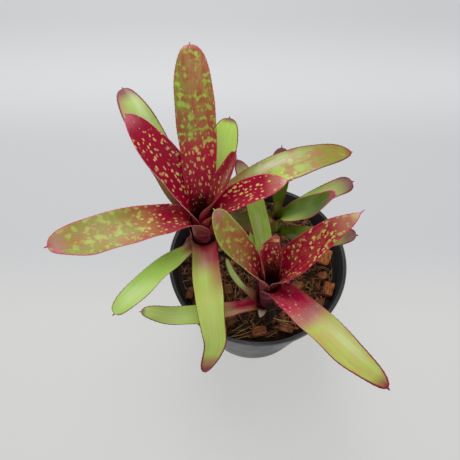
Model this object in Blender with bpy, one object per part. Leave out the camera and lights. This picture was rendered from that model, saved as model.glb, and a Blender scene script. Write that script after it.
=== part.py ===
"""A clump of a neoregelia bromeliad in its nursery pot, at real size.

Three rosettes stand in one pot of husk and bark: a tall mother plant, a daughter in front of it
and a young pup behind. Each leaf is one piece: its sheath wraps the rosette's stem and the younger
leaves, and its blade leaves the tube at the neck and arches away. World frame: +Z up, the pot's
bottom centre at the origin, and the front of the plant towards -Y. Lengths below are in millimetres
and angles in degrees, and MM turns them into metres when a mesh is made.
"""

from dataclasses import dataclass, replace
import math
import random

import bmesh
import bpy
import numpy as np
from mathutils import Matrix, Vector

MM = 0.001
CLEARANCE = 0.3

# Pot, a thin-walled nursery pot with a rolled rim and drain slots in its foot
POT_HEIGHT = 100.0
RIM_RADIUS = 62.5
RIM_DEPTH = 6.0
RIM_WIDTH = 2.6
WALL = 1.3
WALL_TOP_RADIUS = 60.6
FOOT_RADIUS = 44.0
FLOOR = 2.6
POT_SIDES = 64
DRAIN_COUNT = 6
DRAIN_RADIUS = 3.5
DRAIN_RING = 31.0
NOTCH_HEIGHT = 1.8
NOTCH_WIDTH = 8.0
NOTCH_DEPTH = 5.0
FIRST_NOTCH = 242.0

# Potting mix
MIX_LEVEL = 88.0
MIX_BOTTOM = FLOOR + CLEARANCE
MIX_RELIEF = 1.6
MIX_LUMPS = 70
MIX_RINGS = (13.0, 22.0, 31.0, 40.0, 48.0, 54.0)
FLAT_ROUND_STEM = 12.0
STEM_HOLE_DEPTH = 15.0

# Leaves
LEAF_THICKNESS = 0.6
SHEATH_PITCH = 1.0
SHEATH_FADE = 50.0
SHEATH_BOTTOM = MIX_LEVEL + CLEARANCE
SHEATH_LEVELS = (0.0, 5.0, 10.0, 16.0, 26.0, 40.0)
HIGHEST_FOOT = 3
LEAF_COLUMNS = 9
ROW_SPACING = 10.0
FEWEST_ROWS = 4
SMALLEST_HALF_WIDTH = 0.4
TIP_ROW = 1.4

COLOURS = {
    "crimson": (0.42, 0.02, 0.06),
    "mottled": (0.36, 0.20, 0.07),
    "green": (0.38, 0.52, 0.11),
    "olive": (0.14, 0.24, 0.04),
    "dry": (0.72, 0.58, 0.38),
    "stem": (0.22, 0.03, 0.05),
    "pot": (0.02, 0.02, 0.022),
    "mix": (0.07, 0.035, 0.02),
    "husk": (0.36, 0.15, 0.05),
}


@dataclass
class Rosette:
    """A ring of leaves round one stem, leaves from the youngest to the oldest."""

    name: str
    x: float
    y: float
    top: float
    foot_radius: float
    top_radius: float
    stem_length: float


@dataclass
class Leaf:
    """One leaf. Azimuths are seen from above, leans are from the vertical, widths are full widths.

    The sheath may be turned from the blade, so that one of its margins closes the front of the cup.
    """

    azimuth: float
    neck: float
    lean: float
    tip_lean: float
    length: float
    width: float
    sweep: float = 0.0
    roll: float = 0.0
    taper: float = 0.6
    fullness: float = 2.2
    skew: float = 0.0
    base: float = 0.78
    flare: float = 16.0
    wrap: float = 92.0
    neck_wrap: float = 76.0
    turn: float = 0.0
    curl: float = 30.0
    blunt: float = 0.6
    mucro: float = 1.4
    foot_level: int = 0
    colour: str = "green"


MOTHER = Rosette("mother", x=-36.6, y=3.5, top=150, foot_radius=3.4, top_radius=5.2, stem_length=26)
DAUGHTER = Rosette("daughter", x=4.6, y=-32.0, top=143, foot_radius=2.6, top_radius=5.4, stem_length=20)
PUP = Rosette("pup", x=13.6, y=26.0, top=118, foot_radius=2.0, top_radius=2.6, stem_length=14)

MOTHER_LEAVES = (
    Leaf(azimuth=25, neck=154, lean=26, tip_lean=21, length=47, width=13.3, taper=0.49,
         fullness=1.8, skew=0.1, flare=8, turn=-52, colour="crimson", blunt=0.45),
    Leaf(azimuth=91, neck=150, lean=30, tip_lean=66, length=98, width=23.0, sweep=8, roll=3,
         fullness=2.3, skew=-0.1, colour="mottled", blunt=0.42),
    Leaf(azimuth=140, neck=148, lean=33, tip_lean=68, length=74, width=21.9, sweep=3, taper=0.52,
         fullness=2.1, skew=-0.17, base=0.88, flare=20, neck_wrap=80, turn=42, colour="crimson"),
    Leaf(azimuth=3, neck=146, lean=42, tip_lean=64, length=60, width=19.9, sweep=-5, taper=0.52,
         fullness=2.0, skew=-0.13, flare=14, neck_wrap=80, turn=-22, mucro=3.0, colour="crimson"),
    Leaf(azimuth=21, neck=141, lean=52, tip_lean=104, length=102, width=20.7, sweep=-7, roll=5,
         taper=0.48, fullness=2.1, base=0.9, flare=21, colour="mottled", blunt=0.5),
    Leaf(azimuth=201, neck=141, lean=70, tip_lean=96, length=92, width=25.6, sweep=1, roll=-2,
         taper=0.58, fullness=2.3, skew=-0.26, base=0.75, flare=19, neck_wrap=80, turn=22, mucro=2.0,
         colour="mottled", blunt=0.45),
    Leaf(azimuth=70, neck=136, lean=43, tip_lean=68, length=66, width=19.1, sweep=5, taper=0.61,
         fullness=2.3, flare=17, blunt=0.4),
    Leaf(azimuth=130, neck=131, lean=50, tip_lean=82, length=101, width=20.8, sweep=-14, taper=0.56,
         fullness=2.3, skew=0.1, base=0.9, flare=12, blunt=0.38),
    Leaf(azimuth=275, neck=124, lean=76, tip_lean=169, length=98, width=18.3, sweep=6, roll=10,
         taper=0.37, fullness=1.3, skew=-0.9, base=0.9, flare=18, mucro=1.0, blunt=0.42),
    Leaf(azimuth=237, neck=117, lean=48, tip_lean=98, length=83, width=12.7, sweep=-3, roll=-4,
         taper=0.75, fullness=2.6, skew=-0.2, base=0.55, neck_wrap=66, blunt=0.42),
)

DAUGHTER_LEAVES = (
    Leaf(azimuth=105, neck=143, lean=15, tip_lean=-4, length=31, width=15.5, sweep=-3, roll=-3,
         taper=0.44, fullness=1.3, skew=-0.4, base=0.92, flare=14, wrap=120, neck_wrap=125, curl=48,
         colour="crimson"),
    Leaf(azimuth=6, neck=134, lean=23, tip_lean=44, length=72, width=22.9, sweep=18, roll=-3,
         taper=0.3, fullness=1.3, skew=-0.23, base=1.0, flare=7, neck_wrap=80, turn=-22, mucro=3.0,
         colour="crimson"),
    Leaf(azimuth=159, neck=134, lean=34, tip_lean=46, length=56, width=17.9, sweep=-19, roll=-2,
         taper=0.58, skew=-0.25, base=0.84, flare=7, neck_wrap=80, turn=28, colour="mottled", blunt=0.5),
    Leaf(azimuth=303, neck=125, lean=54, tip_lean=96, length=92, width=18.5, sweep=5, taper=0.47,
         fullness=2.15, skew=0.3, base=0.95, flare=12, blunt=0.5),
    Leaf(azimuth=99, neck=124, lean=46, tip_lean=91, length=81, width=12.4, sweep=11, taper=0.58,
         skew=0.2, flare=18, blunt=0.42),
    Leaf(azimuth=119, neck=118, lean=33, tip_lean=49, length=38, width=6.3, sweep=-5, taper=0.55,
         fullness=2.1, base=0.6, flare=18, wrap=58, neck_wrap=40, blunt=0.5),
    Leaf(azimuth=178, neck=101, lean=38, tip_lean=22, length=47, width=4.6, sweep=-46, roll=-4,
         taper=0.7, fullness=2.5, skew=-0.35, base=0.58, flare=7, wrap=58, neck_wrap=40, blunt=0.45),
    Leaf(azimuth=199, neck=93, lean=82, tip_lean=80, length=82, width=12.8, sweep=-17, roll=-4,
         taper=0.63, fullness=2.45, skew=-0.5, base=0.62, flare=10, neck_wrap=60, blunt=0.42),
)

PUP_LEAVES = (
    Leaf(azimuth=92, neck=122, lean=33, tip_lean=60, length=43, width=13.7, sweep=-4, fullness=2.3,
         skew=-0.18, flare=15, mucro=2.0, colour="olive", blunt=0.42),
    Leaf(azimuth=335, neck=109, lean=35, tip_lean=41, length=54, width=21.3, sweep=1, roll=4,
         taper=0.55, fullness=2.1, skew=0.45, base=0.83, flare=7, colour="olive", blunt=0.5),
    Leaf(azimuth=19, neck=106, lean=62, tip_lean=87, length=59, width=13.4, sweep=4, roll=6,
         taper=0.82, fullness=2.6, base=0.75, flare=7, blunt=0.42),
    Leaf(azimuth=211, neck=111, lean=69, tip_lean=75, length=36, width=18.8, sweep=-7, roll=-8,
         fullness=2.3, skew=-0.78, flare=7, colour="olive", blunt=0.5),
    Leaf(azimuth=315, neck=93, lean=54, tip_lean=61, length=67, width=16.2, sweep=29, roll=6,
         fullness=2.5, skew=0.27, base=0.6, flare=7, blunt=0.42),
)

CLUMP = ((MOTHER, MOTHER_LEAVES), (DAUGHTER, DAUGHTER_LEAVES), (PUP, PUP_LEAVES))

# Stub of a dead leaf, a dry scale at the front foot of the daughter's tube
DRY_SCALE = Leaf(azimuth=248, neck=92.5, lean=90, tip_lean=112, length=8, width=13.0, taper=0.1,
                 fullness=1.0, base=0.9, flare=5, wrap=42, neck_wrap=38, mucro=0.5, colour="dry")

# Chips of husk and bark lying on the mix: x, y, length, width, height, turn
HUSK_CHIPS = (
    (48.0, 4.5, 15.0, 12.0, 7.0, 68),
    (46.5, -10.0, 7.5, 6.5, 4.5, 20),
    (49.0, -20.5, 11.5, 8.0, 5.5, 72),
    (29.0, -17.5, 10.0, 8.0, 4.5, 10),
    (0.5, -50.5, 10.5, 7.5, 5.0, 5),
    (-20.7, -19.5, 9.5, 7.0, 4.5, 100),
    (-18.0, -42.5, 9.0, 6.5, 4.0, 30),
    (18.5, -48.5, 12.0, 6.5, 4.0, 165),
    (40.0, -32.0, 11.0, 8.0, 4.5, 40),
    (-47.0, -22.5, 10.0, 5.5, 3.0, 82),
    (-10.5, -1.0, 8.0, 6.0, 4.0, 130),
    (-28.0, 33.0, 12.0, 8.0, 5.5, 25),
    (-6.0, 42.0, 9.0, 7.5, 4.5, 140),
    (36.0, 25.0, 11.0, 8.0, 5.0, 15),
    (-8.0, 16.0, 10.0, 7.0, 4.5, 70),
    (30.0, 43.0, 8.0, 6.0, 4.0, 110),
)
CHIP_SPREAD = 0.22
CHIP_SEED = 7
MIX_SEED = 11


def clear_scene():
    """Removes every object that the file opened with."""
    for scene_object in list(bpy.data.objects):
        bpy.data.objects.remove(scene_object, do_unlink=True)


def make_material(name):
    """A plain Principled material of one of the named colours."""
    material = bpy.data.materials.get(name)
    if material is None:
        material = bpy.data.materials.new(name)
        material.use_nodes = True
        shader = material.node_tree.nodes["Principled BSDF"]
        shader.inputs["Base Color"].default_value = (*COLOURS[name], 1.0)
        shader.inputs["Roughness"].default_value = 0.45
        shader.inputs["Metallic"].default_value = 0.0
    return material


def add_object(name, vertices, faces, colour):
    """A mesh object from vertices in millimetres."""
    mesh = bpy.data.meshes.new(name)
    mesh.from_pydata((np.asarray(vertices) * MM).tolist(), [], [list(face) for face in faces])
    mesh.validate()
    piece = bpy.data.objects.new(name, mesh)
    bpy.context.scene.collection.objects.link(piece)
    mesh.materials.append(make_material(colour))
    return piece


def smooth_step(value):
    """0 below 0, 1 above 1, and an even ease between them."""
    value = np.clip(value, 0.0, 1.0)
    return value * value * (3.0 - 2.0 * value)


def sheath_cover(theta, leaf):
    """How much of a whole sheath the leaf lays over the tube at azimuth theta, fading past its margins."""
    away = np.abs((theta - leaf.azimuth - leaf.turn + 180.0) % 360.0 - 180.0)
    return smooth_step((leaf.wrap + 2.0 + SHEATH_FADE - away) / SHEATH_FADE)


def with_feet(leaves):
    """The leaves with their sheaths' feet staggered up the stem, the youngest highest."""
    last = len(leaves) - 1
    return [replace(leaf, foot_level=round(HIGHEST_FOOT * (last - place) / last))
            for place, leaf in enumerate(leaves)]


def sheath_begun(leaf, height):
    """0 below the level under the sheath's foot and 1 from its foot up."""
    if leaf.foot_level == 0:
        return 1.0
    below, foot = SHEATH_LEVELS[leaf.foot_level - 1:leaf.foot_level + 1]
    return np.clip((height - SHEATH_BOTTOM - below) / (foot - below), 0.0, 1.0)


def sheath_radius(rosette, younger, theta, height):
    """Radius of a sheath: the core's radius and one pitch for each younger sheath under it."""
    rise = smooth_step((height - MIX_LEVEL) / (rosette.top - MIX_LEVEL))
    radius = rosette.foot_radius + (rosette.top_radius - rosette.foot_radius) * rise
    for leaf in younger:
        radius = radius + SHEATH_PITCH * sheath_cover(theta, leaf) * sheath_begun(leaf, height)
    return radius


def sheath_heights(leaf):
    """Heights of the sheath's rows, which every leaf of a rosette shares so that their facets nest."""
    heights = [SHEATH_BOTTOM + level for level in SHEATH_LEVELS[leaf.foot_level:]]
    return np.array([height for height in heights if height < leaf.neck - 2.0])


def blade_directions(leaf, along):
    """Tangent, lateral and upper-face directions of the blade's midrib at distances along it."""
    part = along / leaf.length
    lean = leaf.lean * smooth_step(along / leaf.flare) + (leaf.tip_lean - leaf.lean) * np.clip(part, 0, 1.1) ** 1.6
    lean = np.radians(lean)
    heading = np.radians(leaf.azimuth + leaf.sweep * part)
    tangent = np.stack([np.sin(lean) * np.cos(heading), np.sin(lean) * np.sin(heading), np.cos(lean)], -1)
    lateral = np.stack([-np.sin(heading), np.cos(heading), np.zeros_like(heading)], -1)
    upper = -np.cross(lateral, tangent)
    roll = np.radians(leaf.roll) * smooth_step(part * 1.6)[:, None]
    return tangent, lateral * np.cos(roll) + upper * np.sin(roll), upper * np.cos(roll) - lateral * np.sin(roll)


def blade_midrib(leaf, start, along):
    """Points of the midrib, by adding up its tangent from the neck in fine steps."""
    fine = np.linspace(0.0, leaf.length + leaf.mucro, 240)
    tangent = blade_directions(leaf, fine)[0]
    steps = 0.5 * (tangent[1:] + tangent[:-1]) * (fine[1] - fine[0])
    points = start + np.concatenate([np.zeros((1, 3)), np.cumsum(steps, axis=0)])
    return np.stack([np.interp(along, fine, points[:, axis]) for axis in range(3)], -1)


def blade_rows(leaf, count):
    """Distances of the blade's rows from the neck, closer together at the neck and the tip."""
    part = np.linspace(0.0, 1.0, count)
    part = part - 0.45 * np.sin(2.0 * math.pi * part) / (2.0 * math.pi)
    return np.append(part[:-1] * leaf.length, leaf.length + np.array((-TIP_ROW, 0.0, leaf.mucro)))


def leaf_grid(leaf, rosette, younger, blade_count, columns):
    """The leaf's middle surface as a grid of points, rows from the foot to the tip, columns across.

    In the sheath a row is an arc of the tube. In the blade it is an arc about the midrib whose
    radius grows as the blade opens from the tube into a shallow channel.
    """
    across = np.linspace(-1.0, 1.0, columns)
    azimuth = math.radians(leaf.azimuth)
    turn = math.radians(leaf.turn)
    neck_radius = float(sheath_radius(rosette, younger, leaf.azimuth, leaf.neck))
    neck_wrap = math.radians(leaf.neck_wrap)

    along = blade_rows(leaf, blade_count)
    part = np.clip(along / leaf.length, 0.0, 1.0)
    direction = np.array([math.cos(azimuth), math.sin(azimuth), 0.0])
    start = np.array([rosette.x, rosette.y, leaf.neck]) + neck_radius * direction
    midrib = blade_midrib(leaf, start, along)
    _, lateral, upper = blade_directions(leaf, along)

    half = 0.5 * leaf.width
    full = half * (leaf.base + (1.0 - leaf.base) * smooth_step(part / 0.55))
    full = full + (neck_radius * neck_wrap - half * leaf.base) * (1.0 - smooth_step(1.5 * along / leaf.curl))
    narrowing = np.clip((part - leaf.taper) / (1.0 - leaf.taper), 0.0, 1.0)
    width = np.maximum(full * (1.0 - narrowing ** leaf.fullness) ** leaf.blunt, SMALLEST_HALF_WIDTH)
    width[-1] = 0.6 * SMALLEST_HALF_WIDTH
    opening = neck_wrap + (math.radians(32.0) - neck_wrap) * smooth_step(along / leaf.curl)
    opening = opening - math.radians(20.0) * smooth_step((part - 0.3) / 0.7)
    radius = full / opening
    angle = (width / radius)[:, None] * across[None, :] + turn * (1.0 - smooth_step(along / 22.0))[:, None]
    sideways = np.sin(angle) * radius[:, None] + leaf.skew * half * smooth_step((part - 0.72) / 0.28)[:, None]
    inward = (1.0 - np.cos(angle)) * radius[:, None]
    blade = midrib[:, None] + sideways[..., None] * lateral[:, None] + inward[..., None] * upper[:, None]
    outward = np.sin(angle)[..., None] * lateral[:, None] - np.cos(angle)[..., None] * upper[:, None]
    over = sheath_radius(rosette, younger, leaf.azimuth + np.degrees(angle), midrib[:, 2:]) - neck_radius
    blade = blade + (over * (1.0 - smooth_step(along / 16.0))[:, None])[..., None] * outward

    height = sheath_heights(leaf)[:, None]
    rise = smooth_step((height - height[0]) / (leaf.neck - height[0]))
    wrap = math.radians(leaf.wrap) + (neck_wrap - math.radians(leaf.wrap)) * rise
    theta = azimuth + turn + wrap * across[None, :]
    tube = sheath_radius(rosette, younger, np.degrees(theta), height)
    sheath = np.stack([rosette.x + tube * np.cos(theta), rosette.y + tube * np.sin(theta),
                       np.broadcast_to(height, theta.shape)], -1)
    return np.concatenate([sheath, blade])


def shell_faces(rows, columns):
    """Triangles of a closed shell: its upper grid, its lower grid and the four edges between them."""
    upper = np.arange(rows * columns).reshape(rows, columns)
    lower = upper + rows * columns
    a, b, c, d = upper[:-1, :-1], upper[:-1, 1:], upper[1:, 1:], upper[1:, :-1]
    faces = [np.stack([a, c, b], -1), np.stack([a, d, c], -1)]
    a, b, c, d = (corner + rows * columns for corner in (a, b, c, d))
    faces += [np.stack([a, b, c], -1), np.stack([a, c, d], -1)]
    edges = ((upper[::-1, 0], lower[::-1, 0]), (upper[:, -1], lower[:, -1]),
             (upper[0], lower[0]), (upper[-1, ::-1], lower[-1, ::-1]))
    for near, far in edges:
        faces.append(np.stack([near[:-1], near[1:], far[1:]], -1))
        faces.append(np.stack([near[:-1], far[1:], far[:-1]], -1))
    return np.concatenate([block.reshape(-1, 3) for block in faces])


def leaf_solid(grid):
    """Vertices of the leaf as a shell of even thickness about its middle surface."""
    normal = np.cross(np.gradient(grid, axis=0), np.gradient(grid, axis=1))
    normal = normal / np.maximum(np.linalg.norm(normal, axis=-1, keepdims=True), 1e-9)
    upper = grid + 0.5 * LEAF_THICKNESS * normal
    lower = grid - 0.5 * LEAF_THICKNESS * normal
    return np.concatenate([upper.reshape(-1, 3), lower.reshape(-1, 3)])


def add_leaf(name, leaf, rosette, younger):
    """One leaf with its sheath, as a closed solid."""
    count = FEWEST_ROWS + round(leaf.length / ROW_SPACING)
    grid = leaf_grid(leaf, rosette, younger, count, LEAF_COLUMNS)
    faces = shell_faces(grid.shape[0], grid.shape[1])
    return add_object(name, leaf_solid(grid), faces, leaf.colour)


def spun_solid(profile, sides):
    """Vertices and faces of a closed profile of (radius, height) points turned about Z.

    The profile runs anticlockwise, radius to the right and height up. Points on the axis are shared.
    """
    vertices = []
    rings = []
    for radius, height in profile:
        if radius < 1e-6:
            rings.append([len(vertices)] * sides)
            vertices.append((0.0, 0.0, height))
            continue
        rings.append(list(range(len(vertices), len(vertices) + sides)))
        for side in range(sides):
            turn = 2.0 * math.pi * side / sides
            vertices.append((radius * math.cos(turn), radius * math.sin(turn), height))
    faces = []
    for index, ring in enumerate(rings):
        above = rings[(index + 1) % len(rings)]
        for side in range(sides):
            after = (side + 1) % sides
            corners = [ring[side], ring[after], above[after], above[side]]
            face = [corner for place, corner in enumerate(corners) if corner not in corners[:place]]
            if len(face) > 2:
                faces.append(face)
    return vertices, faces


def outer_wall_radius(height):
    """Radius of the pot's outer wall, a straight taper from the foot to the rim."""
    return FOOT_RADIUS + (WALL_TOP_RADIUS - FOOT_RADIUS) * height / (POT_HEIGHT - RIM_DEPTH)


def inner_wall_radius(height):
    """Radius of the pot's inner wall."""
    return outer_wall_radius(height) - WALL


def add_cutter(name, vertices, faces):
    """A hidden object that a Boolean takes away."""
    cutter = add_object(name, vertices, faces, "pot")
    cutter.hide_render = True
    cutter.display_type = "WIRE"
    return cutter


def cut(piece, cutters):
    """Takes each cutter out of the piece, applies the result and removes the cutters."""
    for cutter in cutters:
        boolean = piece.modifiers.new("cut", "BOOLEAN")
        boolean.operation = "DIFFERENCE"
        boolean.object = cutter
    depsgraph = bpy.context.evaluated_depsgraph_get()
    mesh = bpy.data.meshes.new_from_object(piece.evaluated_get(depsgraph), depsgraph=depsgraph)
    piece.modifiers.clear()
    piece.data = mesh
    for cutter in cutters:
        bpy.data.objects.remove(cutter, do_unlink=True)


def rod(radius, low, high, sides, x=0.0, y=0.0):
    """A plain cylinder as vertices and faces."""
    vertices, faces = spun_solid(((0.0, low), (radius, low), (radius, high), (0.0, high)), sides)
    return [(px + x, py + y, pz) for px, py, pz in vertices], faces


def box(length, width, low, high, x, turn):
    """A block whose middle lies x out along a spoke at the given turn, long along the spoke."""
    corners = [(sx * length / 2 + x, sy * width / 2, z) for z in (low, high)
               for sx, sy in ((-1, -1), (1, -1), (1, 1), (-1, 1))]
    spin = Matrix.Rotation(math.radians(turn), 3, "Z")
    vertices = [tuple(spin @ Vector(corner)) for corner in corners]
    faces = [(3, 2, 1, 0), (4, 5, 6, 7), (0, 1, 5, 4), (1, 2, 6, 5), (2, 3, 7, 6), (3, 0, 4, 7)]
    return vertices, faces


def add_pot():
    """The pot: a tapered wall, a rolled rim with a groove in its top, and a floor with drain slots."""
    skirt = POT_HEIGHT - RIM_DEPTH
    inner_rim = RIM_RADIUS - RIM_WIDTH
    profile = (
        (0.0, 0.0),
        (FOOT_RADIUS - 0.8, 0.0),
        (FOOT_RADIUS + 0.1, 0.9),
        (outer_wall_radius(skirt), skirt),
        (RIM_RADIUS - 0.7, skirt),
        (RIM_RADIUS - 0.1, POT_HEIGHT - 0.9),
        (RIM_RADIUS - 0.5, POT_HEIGHT),
        (RIM_RADIUS - 1.1, POT_HEIGHT),
        (RIM_RADIUS - 1.4, POT_HEIGHT - 0.5),
        (inner_rim + 0.4, POT_HEIGHT - 0.4),
        (inner_rim - 0.1, POT_HEIGHT - 1.0),
        (inner_wall_radius(skirt - 2.0), skirt - 2.0),
        (inner_wall_radius(FLOOR), FLOOR),
        (0.0, FLOOR),
    )
    vertices, faces = spun_solid(profile, POT_SIDES)
    pot = add_object("pot", vertices, faces, "pot")
    cutters = []
    for index in range(DRAIN_COUNT):
        turn = FIRST_NOTCH + 360.0 * index / DRAIN_COUNT
        x = DRAIN_RING * math.cos(math.radians(turn))
        y = DRAIN_RING * math.sin(math.radians(turn))
        cutters.append(add_cutter(f"drain_{index}", *rod(DRAIN_RADIUS, -1.0, FLOOR + 1.0, 12, x, y)))
        notch = box(2.0 * NOTCH_DEPTH, NOTCH_WIDTH, -1.0, NOTCH_HEIGHT, FOOT_RADIUS, turn)
        cutters.append(add_cutter(f"notch_{index}", *notch))
    cut(pot, cutters)


def mix_flatness(x, y):
    """1 where the mix lies rough, falling to 0 where a stem stands or a chip lies."""
    rough = np.ones_like(x)
    for rosette, _ in CLUMP:
        away = np.hypot(x - rosette.x, y - rosette.y)
        rough = rough * smooth_step((away - FLAT_ROUND_STEM) / 5.0)
    for chip in HUSK_CHIPS:
        away = np.hypot(x - chip[0], y - chip[1])
        rough = rough * smooth_step((away - 0.75 * chip[2]) / 5.0)
    return rough


def mix_height(x, y):
    """The mix's surface: a level with seeded lumps, flat round each stem and under each chip."""
    draw = random.Random(MIX_SEED)
    lumps = np.zeros_like(x)
    for _ in range(MIX_LUMPS):
        turn = draw.uniform(0.0, 2.0 * math.pi)
        out = 56.0 * math.sqrt(draw.random())
        spread = draw.uniform(4.0, 8.0)
        rise = draw.uniform(-1.0, 1.0)
        square = (x - out * math.cos(turn)) ** 2 + (y - out * math.sin(turn)) ** 2
        lumps = lumps + rise * np.exp(-square / spread ** 2)
    return MIX_LEVEL + MIX_RELIEF * np.tanh(lumps) * mix_flatness(x, y)


def add_mix():
    """The potting mix: a rough top inside the pot's wall, with a plain hole for each stem."""
    edge = inner_wall_radius(MIX_LEVEL) - CLEARANCE
    foot = inner_wall_radius(MIX_BOTTOM) - CLEARANCE
    radii = MIX_RINGS + (edge,)
    turns = 2.0 * math.pi * np.arange(POT_SIDES) / POT_SIDES
    vertices = [(0.0, 0.0, MIX_LEVEL)]
    for radius in radii:
        x = radius * np.cos(turns)
        y = radius * np.sin(turns)
        z = mix_height(x, y) if radius < edge else np.full_like(x, MIX_LEVEL)
        vertices += list(zip(x, y, z))
    vertices += [(foot * math.cos(turn), foot * math.sin(turn), MIX_BOTTOM) for turn in turns]
    vertices.append((0.0, 0.0, MIX_BOTTOM))
    faces = []
    for side in range(POT_SIDES):
        after = (side + 1) % POT_SIDES
        faces.append((0, 1 + side, 1 + after))
        for ring in range(len(radii)):
            near = 1 + ring * POT_SIDES
            far = near + POT_SIDES
            faces.append((near + side, far + side, near + after))
            faces.append((near + after, far + side, far + after))
        last = 1 + len(radii) * POT_SIDES
        faces.append((last + after, last + side, last + POT_SIDES))
    mix = add_object("potting_mix", vertices, faces, "mix")
    cutters = []
    for rosette, _ in CLUMP:
        hole = rod(stem_radius(rosette) + CLEARANCE, MIX_LEVEL - STEM_HOLE_DEPTH, MIX_LEVEL + 5.0, 16,
                   rosette.x, rosette.y)
        cutters.append(add_cutter(f"hole_{rosette.name}", *hole))
    cut(mix, cutters)


def stem_radius(rosette):
    """The stem lies one clearance inside the innermost sheath."""
    return rosette.foot_radius - 0.5 * LEAF_THICKNESS - CLEARANCE


def add_stem(rosette):
    """The short stem, from its hole in the mix up into the tube of sheaths."""
    radius = stem_radius(rosette)
    foot = MIX_LEVEL - STEM_HOLE_DEPTH + CLEARANCE
    top = MIX_LEVEL + rosette.stem_length
    profile = ((0.0, foot), (0.7 * radius, foot), (radius, foot + 1.5), (radius, top - 2.0),
               (0.6 * radius, top - 0.4), (0.0, top))
    vertices, faces = spun_solid(profile, 16)
    vertices = [(x + rosette.x, y + rosette.y, z) for x, y, z in vertices]
    add_object(f"{rosette.name}_stem", vertices, faces, "stem")


def add_chip(name, chip, draw):
    """A broken chip of husk: the hull of a jittered block with a flat underside."""
    x, y, length, width, height, turn = chip
    spin = Matrix.Rotation(math.radians(turn), 3, "Z")
    mesh = bmesh.new()
    for level in (0.0, 0.55, 1.0):
        inset = (0.9, 1.0, 0.74)[round(2 * level)]
        for side in range(7):
            angle = 2.0 * math.pi * (side + draw.uniform(-CHIP_SPREAD, CHIP_SPREAD)) / 7
            reach = inset * draw.uniform(1.0 - CHIP_SPREAD, 1.0)
            rise = level * height * draw.uniform(1.0 - CHIP_SPREAD, 1.0)
            flat = Vector((0.5 * length * reach * math.cos(angle), 0.5 * width * reach * math.sin(angle), 0.0))
            place = spin @ flat + Vector((x, y, MIX_LEVEL + CLEARANCE + rise))
            mesh.verts.new(place * MM)
    hull = bmesh.ops.convex_hull(mesh, input=mesh.verts)
    unused = [item for item in hull["geom_interior"] if isinstance(item, bmesh.types.BMVert)]
    bmesh.ops.delete(mesh, geom=unused, context="VERTS")
    bmesh.ops.recalc_face_normals(mesh, faces=mesh.faces)
    data = bpy.data.meshes.new(name)
    mesh.to_mesh(data)
    mesh.free()
    data.materials.append(make_material("husk"))
    piece = bpy.data.objects.new(name, data)
    bpy.context.scene.collection.objects.link(piece)


def main():
    """Builds the pot, the mix, the chips and the three rosettes."""
    clear_scene()
    add_pot()
    add_mix()
    draw = random.Random(CHIP_SEED)
    for number, chip in enumerate(HUSK_CHIPS, start=1):
        add_chip(f"husk_chip_{number:02d}", chip, draw)
    for rosette, leaves in CLUMP:
        add_stem(rosette)
        leaves = with_feet(leaves)
        for number, leaf in enumerate(leaves, start=1):
            add_leaf(f"{rosette.name}_leaf_{number:02d}", leaf, rosette, leaves[:number - 1])
    add_leaf("daughter_dry_scale", DRY_SCALE, DAUGHTER, with_feet(DAUGHTER_LEAVES))


main()
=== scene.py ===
"""Looks of a neoregelia bromeliad clump in its nursery pot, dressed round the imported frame.

Laid out as an add-on and run as a script. Each operator makes one piece or one group of like pieces.
Lengths in the tables are in millimetres and angles in degrees; MM turns them into metres when a mesh
is made. World frame: +Z up, the pot's bottom centre at the origin, the front of the plant towards -Y.
"""

from dataclasses import dataclass, replace
from functools import partial
import math

import bpy
from bpy.props import FloatProperty, FloatVectorProperty, IntProperty, PointerProperty
import numpy as np
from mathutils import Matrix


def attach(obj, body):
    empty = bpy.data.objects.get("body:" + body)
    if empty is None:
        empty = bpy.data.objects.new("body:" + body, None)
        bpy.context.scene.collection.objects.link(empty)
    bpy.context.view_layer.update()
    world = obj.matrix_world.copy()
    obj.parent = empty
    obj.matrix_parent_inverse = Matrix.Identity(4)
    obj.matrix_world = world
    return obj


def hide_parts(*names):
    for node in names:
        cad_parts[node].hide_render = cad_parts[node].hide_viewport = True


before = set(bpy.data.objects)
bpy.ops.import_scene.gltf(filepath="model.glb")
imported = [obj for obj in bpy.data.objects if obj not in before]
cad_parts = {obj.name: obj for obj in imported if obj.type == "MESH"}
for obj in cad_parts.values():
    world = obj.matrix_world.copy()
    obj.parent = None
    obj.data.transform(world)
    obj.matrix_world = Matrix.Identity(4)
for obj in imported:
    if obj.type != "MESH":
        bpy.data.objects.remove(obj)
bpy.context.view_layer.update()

bl_info = {
    "name": "Neoregelia bromeliad",
    "version": (1, 0, 0),
    "blender": (4, 5, 0),
    "location": "View3D > Sidebar > Bromeliad",
    "description": "Makes the leaves, pot, potting mix and stage of a potted bromeliad clump",
    "category": "Object",
}

MM = 0.001
FIXED_BODY = "root"
FULL_TURN = 2.0 * math.pi

# Pot. A cutter reaches past what it cuts by the overlap
POT_HEIGHT = 100.0
RIM_RADIUS = 62.5
RIM_DEPTH = 6.0
RIM_WIDTH = 2.6
WALL = 1.3
WALL_TOP_RADIUS = 60.6
FOOT_RADIUS = 44.0
FLOOR = 2.6
DRAIN_COUNT = 6
DRAIN_RADIUS = 3.5
DRAIN_RING = 31.0
NOTCH_HEIGHT = 1.8
NOTCH_WIDTH = 8.0
NOTCH_DEPTH = 5.0
FIRST_NOTCH = 242.0
CUT_OVERLAP = 1.0

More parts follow.
